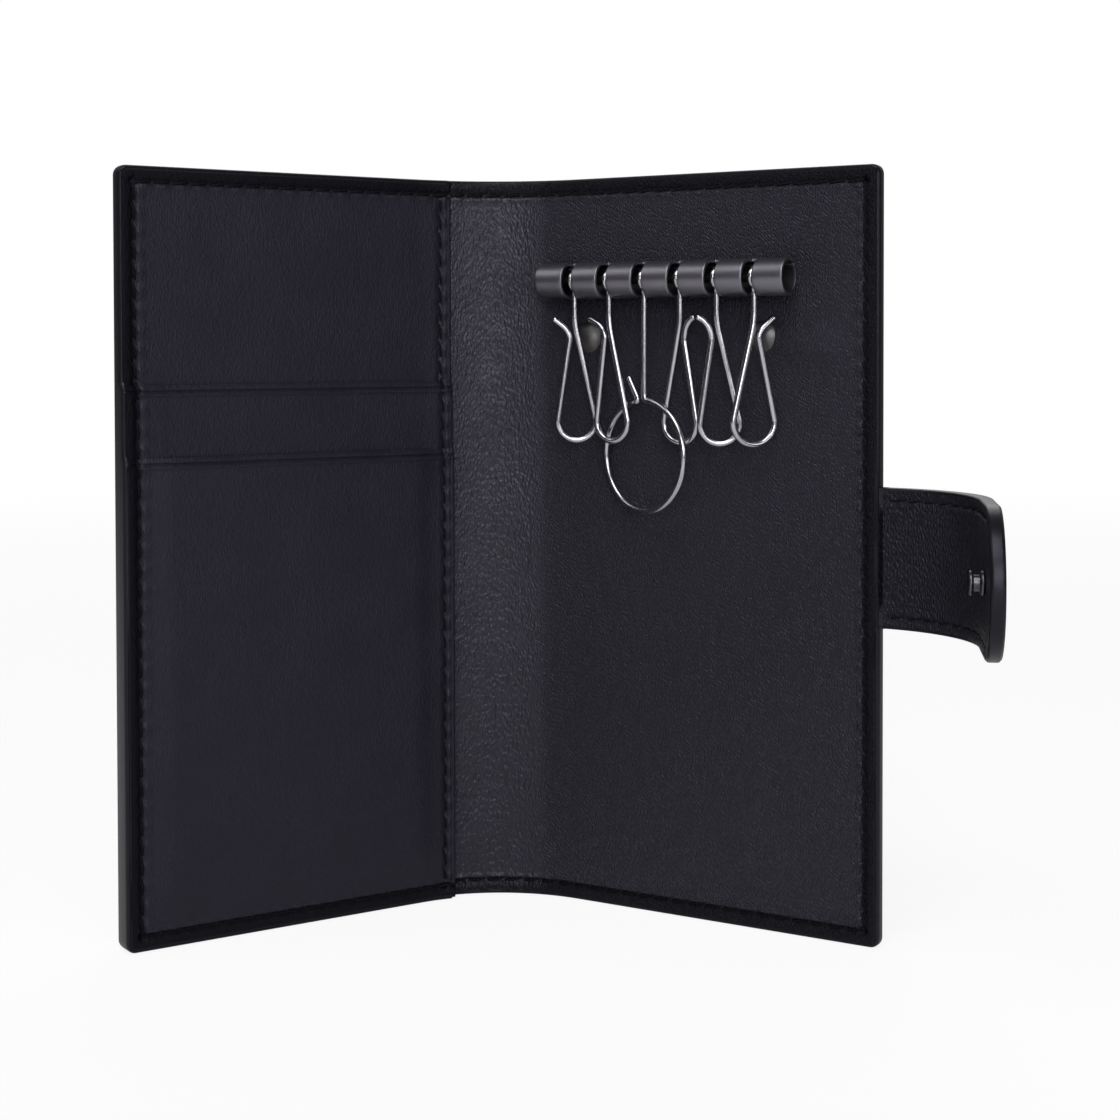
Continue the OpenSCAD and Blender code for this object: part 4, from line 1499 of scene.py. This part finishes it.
def rail_columns(half_l):
    """Places along the rail from its middle, each with whether a slot starts there."""
    edges = [-half_l]
    for i in range(RAIL_SLOTS):
        middle = (i - (RAIL_SLOTS - 1) / 2) * HOOK_PITCH
        edges += [middle - SLOT_W / 2, middle + SLOT_W / 2]
    edges += [half_l]
    columns = []
    for one, two in zip(edges, edges[1:]):
        is_slot = abs(two - one - SLOT_W) < 1e-6
        for part in np.linspace(one, two, 3 if is_slot else 9)[:-1]:
            columns.append((part, is_slot))
    columns.append((half_l, False))
    for limit in (-WEB_HALF, WEB_HALF):
        nearest = min(range(len(columns)), key=lambda i: abs(columns[i][0] - limit))
        columns[nearest] = (limit, columns[nearest][1])
    return columns


def rail_sheet(place, places, bands, columns):
    """The rail's slotted sheet as a mesh without thickness, its faces pointing outwards."""
    work = bmesh.new()
    grid = {}

    def corner(i, j):
        if (i, j) not in grid:
            y, z = places[j]
            grid[i, j] = work.verts.new((place.x + columns[i][0], place.y + y, place.z + z))
        return grid[i, j]

    for i in range(len(columns) - 1):
        in_slot = columns[i][1]
        in_web = abs((columns[i][0] + columns[i + 1][0]) / 2) < WEB_HALF
        keep = {
            "web": in_web,
            "flat": in_web and not in_slot,
            "end": not in_web,
            "roll": not in_slot,
            "back": True,
        }
        for one, two, kind in bands:
            if keep[kind]:
                corners = [(i, one), (i, two), (i + 1, two), (i + 1, one)]
                work.faces.new([corner(*at) for at in corners])
    bmesh.ops.recalc_face_normals(work, faces=work.faces)
    work.faces.ensure_lookup_table()
    front_face = min(work.faces, key=lambda f: f.calc_center_median().y)
    if front_face.normal.y > 0:
        bmesh.ops.reverse_faces(work, faces=work.faces)
    mesh = bpy.data.meshes.new("rolled_key_rail")
    work.to_mesh(mesh)
    work.free()
    return mesh


class KEYCASE_OT_key_rail(bpy.types.Operator):
    """Rolls the key rail from one slotted sheet, with rounded rims, and sets its two rivets"""

    bl_idname = "keycase.key_rail"
    bl_label = "Key rail"

    def execute(self, context):
        k = context.scene.key_case_sizes
        made = finishes(context)
        low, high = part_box("key_rail")
        place = rail_place()
        places, bands = rail_section(k.rail_d / 2, high.y - k.board_t - place.y)
        mesh = rail_sheet(place, places, bands, rail_columns((high.x - low.x) / 2))
        mesh.materials.append(made["Gunmetal_plate_rolled_satin"])
        rail = bpy.data.objects.new("rolled_key_rail", mesh)
        context.scene.collection.objects.link(rail)
        sheet = rail.modifiers.new("Sheet", "SOLIDIFY")
        sheet.thickness, sheet.offset, sheet.use_even_offset = k.sheet_t, -1, True
        rims = rail.modifiers.new("Rims", "BEVEL")
        rims.width, rims.segments, rims.limit_method = 0.16 * MM, 3, "ANGLE"
        rims.angle_limit = math.radians(40)
        rims.use_clamp_overlap = True
        bpy.context.view_layer.update()
        graph = context.evaluated_depsgraph_get()
        final = bpy.data.meshes.new_from_object(rail.evaluated_get(graph))
        rail.modifiers.clear()
        rail.data = final
        final.shade_smooth()
        final.set_sharp_from_angle(angle=math.radians(50))
        # The inside of the roll is painted darker, as painted shade
        final.materials.append(made["Steel_sheet_inside_of_roll"])
        for face in final.polygons:
            away = math.hypot(face.center.y - place.y, face.center.z - place.z)
            face.material_index = int(away < k.rail_d / 2 - 0.8 * k.sheet_t)
        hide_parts("key_rail")
        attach(rail, "back_cover")
        set_rivets(made["Gunmetal_plated_rivet_domed"])
        return {"FINISHED"}


def round_corner(points, index, reach, steps=8):
    """Replaces the corner at an index by a smooth bend that starts and ends at a distance."""
    p = [np.asarray(x, float) for x in points]
    here = p[index]

    def cut(direction):
        left, i = reach, index
        while 0 <= i + direction < len(p):
            span = np.linalg.norm(p[i + direction] - p[i])
            if span >= left:
                return i + direction, p[i] + (p[i + direction] - p[i]) * left / span
            left -= span
            i += direction
        return i, p[i]

    before, start = cut(-1)
    after, end = cut(1)
    bend = [
        (1 - t) ** 2 * start + 2 * t * (1 - t) * here + t**2 * end for t in np.linspace(0, 1, steps)
    ]
    return p[: before + 1] + bend + p[after:]


def arc_points(centre, radius, start, sweep, steps):
    return [
        np.array([centre[0] + radius * math.cos(a), centre[1] - radius * math.sin(a)])
        for a in np.radians(np.linspace(start, start + sweep, steps))
    ]


def eye_points():
    """The eye about the rod, from its open end over the top and down the front, as (y, z)."""
    return [
        (EYE_R * math.cos(a), EYE_R * math.sin(a)) for a in np.radians(np.linspace(-30, 262, 34))
    ]


def small_hook_line(gate_w, stem_w, lip_w, side, curl):
    """Centre line of a small hook below its eye, as (x, drop) points.

    Its lip turns out from a bend to a straight end, or curls over in one round where curl is set."""
    r = (gate_w + stem_w) / 2
    c = np.array([(stem_w - gate_w) / 2, HOOK_DROP - r])
    stem_end = np.array([0, STEM_DROP])
    to_stem = c - stem_end
    lean = math.asin(r / np.linalg.norm(to_stem)) + math.atan2(*to_stem)
    gate_end = np.array([-GATE_OFFSET, GATE_DROP])
    to_gate = c - gate_end
    gate_lean = math.asin(r / np.linalg.norm(to_gate)) - math.atan2(*to_gate)
    lip_end = np.array([-lip_w, LIP_DROP])
    lip_c = gate_end - LIP_BEND * np.array([math.cos(gate_lean), -math.sin(gate_lean)])
    reach = np.linalg.norm(lip_end - lip_c)
    lip_angle = math.atan2(lip_c[1] - lip_end[1], lip_end[0] - lip_c[0]) - math.acos(LIP_BEND / reach)
    degrees = math.degrees
    points = [np.array([0.0, EYE_R]), np.array([0.0, STEM_START]), stem_end]
    points += arc_points(c, r, degrees(lean), -180 - degrees(lean) - degrees(gate_lean), 40)
    if curl:
        low, wide, tall = 9.9 * MM, lip_w - 0.3 * MM, 3.8 * MM
        points += [
            np.array([-GATE_OFFSET - wide * (1 - math.cos(t)), low - tall * math.sin(t)])
            for t in np.radians(np.linspace(0, 86, 14))
        ]
    else:
        points += arc_points(lip_c, LIP_BEND, degrees(gate_lean), degrees(lip_angle - gate_lean), 12)
        points.append(lip_end)
    return [(p[0] * side, p[1]) for p in points]


def ring_hook_line():
    """Centre line of the key ring hook below its eye: stem, ring and tail."""
    drop, r, gap, lean, tail = 19.4 * MM, 8.9 * MM, 8, 32, 4.6 * MM
    c = np.array([0, drop + r])
    end = c + r * np.array([-math.sin(math.radians(gap)), -math.cos(math.radians(gap))])
    tip = end + tail * np.array([-math.sin(math.radians(lean)), -math.cos(math.radians(lean))])
    points = [np.array([0.0, EYE_R]), np.array([0.0, STEM_START])]
    points += arc_points(c, r, 90, -(360 - gap), 110)
    points.append(tip)
    return [tuple(p) for p in points]


# Of each small hook: half widths by its gate and its stem, reach of its lip, turn about the stem in
# degrees, side of the gate, and whether the lip curls over
HOOK_BENDS = {
    1: (2.75, 3.45, 3.5, 29, 1, False),
    2: (2.4, 3.6, 3.9, -4, 1, False),
    4: (3.1, 3.0, 2.5, -4, -1, True),
    5: (2.6, 3.63, 2.9, 29, 1, True),
    6: (3.5, 3.5, 3.5, 50, -1, False),
}


class KEYCASE_OT_hooks(bpy.types.Operator):
    """Bends the six hooks from round wire: five for keys and one with a ring"""

    bl_idname = "keycase.hooks"
    bl_label = "Hooks"

    def execute(self, context):
        k = context.scene.key_case_sizes
        made, place = finishes(context), rail_place()
        wire = made["Ruthenium_plated_wire_drawn"]
        for number in range(1, RAIL_SLOTS + 1):
            if number == 3:
                flat, twist = ring_hook_line(), -17
                corners = [(2, 1.0 * MM), (len(flat) - 2, 0.7 * MM)]
            else:
                gate, stem, lip, twist, side, curl = HOOK_BENDS[number]
                flat = small_hook_line(gate * MM, stem * MM, lip * MM, side, curl)
                corners = [(2, 1.6 * MM)]
            for index, reach in sorted(corners, reverse=True):
                flat = round_corner(flat, index, reach)
            turn = math.radians(twist)
            line = [(0.0, y, z) for y, z in eye_points()]
            joint = len(line)
            line += [(p[0] * math.cos(turn), p[0] * math.sin(turn), -p[1]) for p in flat]
            line = round_corner(line, joint, 0.9 * MM)
            x = place.x + (number - 1 - (RAIL_SLOTS - 1) / 2) * HOOK_PITCH
            points = dense([np.array([x, place.y, place.z]) + p for p in line], 0.3 * MM)
            hook = tube(f"wire_hook_{number}", points, k.wire_d / 2 + WIRE_EXTRA, wire)
            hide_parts(f"hook_{number}")
            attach(hook, f"key_hook_{number}")
        return {"FINISHED"}


def dense(points, step):
    """The same line with no step much longer than the given one, and no doubled points."""
    out = [points[0]]
    for p in points[1:]:
        gap = np.linalg.norm(p - out[-1])
        if gap < 0.02 * MM:
            continue
        count = max(1, int(gap / step))
        out += [out[-1] + (p - out[-1]) * (i + 1) / count for i in range(count)]
    return out


class KEYCASE_OT_snap(bpy.types.Operator):
    """Turns the snap fastener's stud on the strap and its socket on the front cover"""

    bl_idname = "keycase.snap"
    bl_label = "Snap fastener"

    def execute(self, context):
        k = context.scene.key_case_sizes
        made = finishes(context)
        metal = made["Gunmetal_plated_snap_turned"]
        strip = strap_strip(k)
        middle = strap_outline(k)[0]
        s = STRAP_ARC + STRAP_STRAIGHT
        face = strip.at(s, k.strap_r - k.strap_leather_t, middle)
        up = Vector(strip.inward(s))
        place = Matrix.Translation(Vector(face)) @ up.to_track_quat("Z", "Y").to_matrix().to_4x4()
        r, neck, flange, top = 1.7 * MM, 1.15 * MM, 0.75 * MM, 2.3 * MM
        post = 0.9 * MM
        e = 0.3 * MM
        profile = [(0, -0.6 * MM), (post, -0.6 * MM), (post, 0), (r - 0.1 * MM, 0)]
        profile += [
            (r - e + e * math.cos(a), e + e * math.sin(a)) for a in np.linspace(-1.3, 1.3, 8)
        ]
        profile += [(neck, flange), (neck, top - flange)]
        profile += [
            (r - e + e * math.cos(a), top - flange / 2 + e * math.sin(a))
            for a in np.linspace(-1.3, 1.5, 9)
        ]
        profile += [(0.9 * MM, top), (0.6 * MM, top - 0.12 * MM), (0, top - 0.16 * MM)]
        stud = lathe("snap_stud_turned", profile, place, metal, 48)
        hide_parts("snap_stud")
        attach(stud, "strap_tip")
        # The socket, whose bore takes the stud
        low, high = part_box("socket_washer")
        case = case_strip(k)
        centre = (low + high) / 2
        outward = -Vector(case.inward(case.arc))
        base = Vector(centre) + outward * (k.outer_t + 0.2 * MM)
        place = Matrix.Translation(base) @ outward.to_track_quat("Z", "Y").to_matrix().to_4x4()
        big, tall, bore, tube_r, e = 4.3 * MM, 1.6 * MM, 1.95 * MM, 2.45 * MM, 0.4 * MM
        profile = [(tube_r, -1.2 * MM), (tube_r, 0), (big - 0.1 * MM, 0), (big, 0.12 * MM)]
        profile += [
            (big - e + e * math.cos(a), tall - e + e * math.sin(a))
            for a in np.linspace(0, math.pi / 2, 8)
        ]
        profile += [(3.0 * MM, tall), (2.75 * MM, tall - 0.15 * MM), (2.5 * MM, tall)]
        profile += [(bore + 0.3 * MM, tall), (bore, tall - 0.3 * MM), (bore, -1.2 * MM), (0, -1.2 * MM)]
        profile += [(0, -1.35 * MM), (tube_r, -1.35 * MM), (tube_r, -1.2 * MM)]
        socket = lathe("snap_socket_turned", profile, place, metal)
        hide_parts("snap_socket")
        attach(socket, "front_cover")
        return {"FINISHED"}


class KEYCASE_OT_inner_pieces(bpy.types.Operator):
    """Gives the pieces inside the case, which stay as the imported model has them, their materials"""

    bl_idname = "keycase.inner_pieces"
    bl_label = "Inner pieces"

    def execute(self, context):
        made = finishes(context)
        wanted = {
            "back_board": "Leather_board_bonded",
            "front_board": "Leather_board_bonded",
            "rail_rod": "Steel_rod_blackened",
            "strap_tongue": "Calf_outer_leather_smooth",
            "stud_washer": "Gunmetal_plated_snap_turned",
            "socket_washer": "Gunmetal_plated_snap_turned",
        }
        for node, name in wanted.items():
            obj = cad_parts[node]
            obj.data.materials.clear()
            obj.data.materials.append(made[name])
        return {"FINISHED"}


# The stage


CAMERA_PLACE = (144.3 * MM, -285.97 * MM, 92.31 * MM)
CAMERA_AZIMUTH = 31.504
CAMERA_DIP = 1.4725
CAMERA_ROLL = -0.109
PHOTO_WIDTH = 1120
FOCAL_PIXELS = 2000
SHIFT_UP = -0.1447
# The room's light: its brightest direction from -Y towards +X, and its least and greatest level
ROOM_AZIMUTH = 205
ROOM_DIM = 0.06
ROOM_BRIGHT = 0.55
LIT_PLACE = (-10 * MM, -20 * MM, 60 * MM)
# Softboxes: name, azimuth and height in degrees, distance and size in metres, power in watts
SOFTBOXES = (
    ("Softbox_camera", 31, 17, 1.0, 0.5, 4.6),
    ("Softbox_top", 20, 58, 0.85, 0.6, 4.9),
    ("Softbox_left", -54, 44, 0.9, 0.5, 1.1),
    ("Softbox_right", 72, 14, 0.9, 0.32, 1.0),
    ("Softbox_back", 208, 35, 1.0, 0.8, 2.2),
)


def area_light(name, place, target, size, power):
    light = bpy.data.lights.new(name, "AREA")
    light.shape, light.size, light.energy = "DISK", size, power
    obj = bpy.data.objects.new(name, light)
    obj.location = place
    obj.rotation_euler = (Vector(target) - Vector(place)).to_track_quat("-Z", "Y").to_euler()
    bpy.context.scene.collection.objects.link(obj)


class KEYCASE_OT_stage(bpy.types.Operator):
    """Sets the camera at the photograph's angle, on a plain pale floor in soft light"""

    bl_idname = "keycase.stage"
    bl_label = "Stage"

    def execute(self, context):
        scene = context.scene
        lens = bpy.data.cameras.new("Camera")
        lens.sensor_width, lens.lens = 36, FOCAL_PIXELS / PHOTO_WIDTH * 36
        lens.shift_y = SHIFT_UP
        lens.clip_start, lens.clip_end = 0.02, 20
        camera = bpy.data.objects.new("Camera", lens)
        scene.collection.objects.link(camera)
        azimuth, dip = math.radians(CAMERA_AZIMUTH), math.radians(CAMERA_DIP)
        look = Vector(
            (-math.sin(azimuth) * math.cos(dip), math.cos(azimuth) * math.cos(dip), -math.sin(dip))
        )
        turn = look.to_track_quat("-Z", "Y").to_matrix().to_4x4()
        roll = Matrix.Rotation(math.radians(CAMERA_ROLL), 4, "Z")
        camera.matrix_world = Matrix.Translation(CAMERA_PLACE) @ turn @ roll
        scene.camera = camera
        # A white paper floor: it shows as white paper, and keeps the case's soft shadow
        bpy.ops.mesh.primitive_grid_add(x_subdivisions=2, y_subdivisions=2, size=6)
        floor = context.active_object
        floor.name = "floor"
        paper = bpy.data.materials.new("Paper_backdrop_white")
        paper.use_nodes = True
        tree = paper.node_tree
        shader = tree.nodes["Principled BSDF"]
        shader.inputs["Base Color"].default_value = (*srgb("#f2f2f2"), 1)
        shader.inputs["Roughness"].default_value = 0.95
        add = adder(tree)
        glow = add("ShaderNodeEmission", {}, {"Color": (1, 1, 1, 1), "Strength": 1.0})
        rays = add("ShaderNodeLightPath")
        # Far from the case the paper runs out evenly into the white background
        place = add("ShaderNodeTexCoord")
        away = add("ShaderNodeVectorMath", {"operation": "LENGTH"}, {}, {0: (place, "Object")})
        white = add(
            "ShaderNodeMapRange",
            SMOOTH,
            {"From Min": 0.2, "From Max": 1.1, "To Min": 0.86},
            {"Value": (away, "Value")},
        )
        seen = add("ShaderNodeMath", TIMES, {}, {0: (rays, "Is Camera Ray"), 1: (white, "Result")})
        mix = add(
            "ShaderNodeMixShader",
            {},
            {},
            {"Fac": (seen, "Value"), 1: (shader, "BSDF"), 2: (glow, "Emission")},
        )
        tree.links.new(mix.outputs["Shader"], tree.nodes["Material Output"].inputs["Surface"])
        floor.data.materials.append(paper)
        # A soft room: white where the camera sees it, dimmer to the sides and below elsewhere
        world = bpy.data.worlds.new("Studio")
        scene.world = world
        world.use_nodes = True
        tree = world.node_tree
        background = tree.nodes["Background"]
        add = adder(tree)
        white = add("ShaderNodeBackground", {}, {"Color": (1, 1, 1, 1), "Strength": 1.0})
        rays = add("ShaderNodeLightPath")
        mix = add(
            "ShaderNodeMixShader",
            {},
            {},
            {"Fac": (rays, "Is Camera Ray"), 1: (background, "Background"), 2: (white, "Background")},
        )
        tree.links.new(mix.outputs["Shader"], tree.nodes["World Output"].inputs["Surface"])
        # The white backdrop behind the case is bright, the side of the camera dim
        direction = add("ShaderNodeTexCoord")
        bright = math.radians(ROOM_AZIMUTH)
        facing = add(
            "ShaderNodeVectorMath",
            {"operation": "DOT_PRODUCT"},
            {1: (math.sin(bright), -math.cos(bright), 0.0)},
            {0: (direction, "Generated")},
        )
        parts = add("ShaderNodeSeparateXYZ", {}, {}, {"Vector": (direction, "Generated")})
        side = add(
            "ShaderNodeMapRange",
            SMOOTH,
            {"From Min": 0.35, "To Min": ROOM_DIM, "To Max": ROOM_BRIGHT},
            {"Value": (facing, "Value")},
        )
        sky = add(
            "ShaderNodeMapRange",
            SMOOTH,
            {"From Min": -0.5, "From Max": 0.3, "To Min": 0.4},
            {"Value": (parts, "Z")},
        )
        room = add("ShaderNodeMath", TIMES, {}, {0: (side, "Result"), 1: (sky, "Result")})
        tree.links.new(room.outputs["Value"], background.inputs["Color"])
        for name, azimuth, height, distance, size, power in SOFTBOXES:
            turn, lift = math.radians(azimuth), math.radians(height)
            way = Vector(
                (math.sin(turn) * math.cos(lift), -math.cos(turn) * math.cos(lift), math.sin(lift))
            )
            area_light(name, Vector(LIT_PLACE) + way * distance, LIT_PLACE, size, power)
        scene.view_settings.view_transform = "Standard"
        return {"FINISHED"}


OPERATORS = (
    KEYCASE_OT_lining,
    KEYCASE_OT_outer_leather,
    KEYCASE_OT_card_pockets,
    KEYCASE_OT_edge_paint,
    KEYCASE_OT_stitches,
    KEYCASE_OT_strap,
    KEYCASE_OT_key_rail,
    KEYCASE_OT_hooks,
    KEYCASE_OT_snap,
    KEYCASE_OT_inner_pieces,
    KEYCASE_OT_stage,
)


class KEYCASE_PT_panel(bpy.types.Panel):
    """The key case's sizes, finishes and pieces"""

    bl_label = "Key case"
    bl_idname = "KEYCASE_PT_panel"
    bl_space_type = "VIEW_3D"
    bl_region_type = "UI"
    bl_category = "Key case"

    def draw(self, context):
        layout = self.layout
        for operator in OPERATORS:
            layout.operator(operator.bl_idname)
        for group in (context.scene.key_case_sizes, context.scene.key_case_finish):
            box = layout.box()
            for key in group.__annotations__:
                box.prop(group, key)


CLASSES = (KeyCaseSizes, KeyCaseFinish, *OPERATORS, KEYCASE_PT_panel)


def register():
    for cls in CLASSES:
        bpy.utils.register_class(cls)
    bpy.types.Scene.key_case_sizes = PointerProperty(type=KeyCaseSizes)
    bpy.types.Scene.key_case_finish = PointerProperty(type=KeyCaseFinish)


def unregister():
    del bpy.types.Scene.key_case_finish
    del bpy.types.Scene.key_case_sizes
    for cls in reversed(CLASSES):
        bpy.utils.unregister_class(cls)


def main():
    register()
    for operator in OPERATORS:
        group, name = operator.bl_idname.split(".")
        getattr(getattr(bpy.ops, group), name)()


if __name__ == "__main__":
    main()
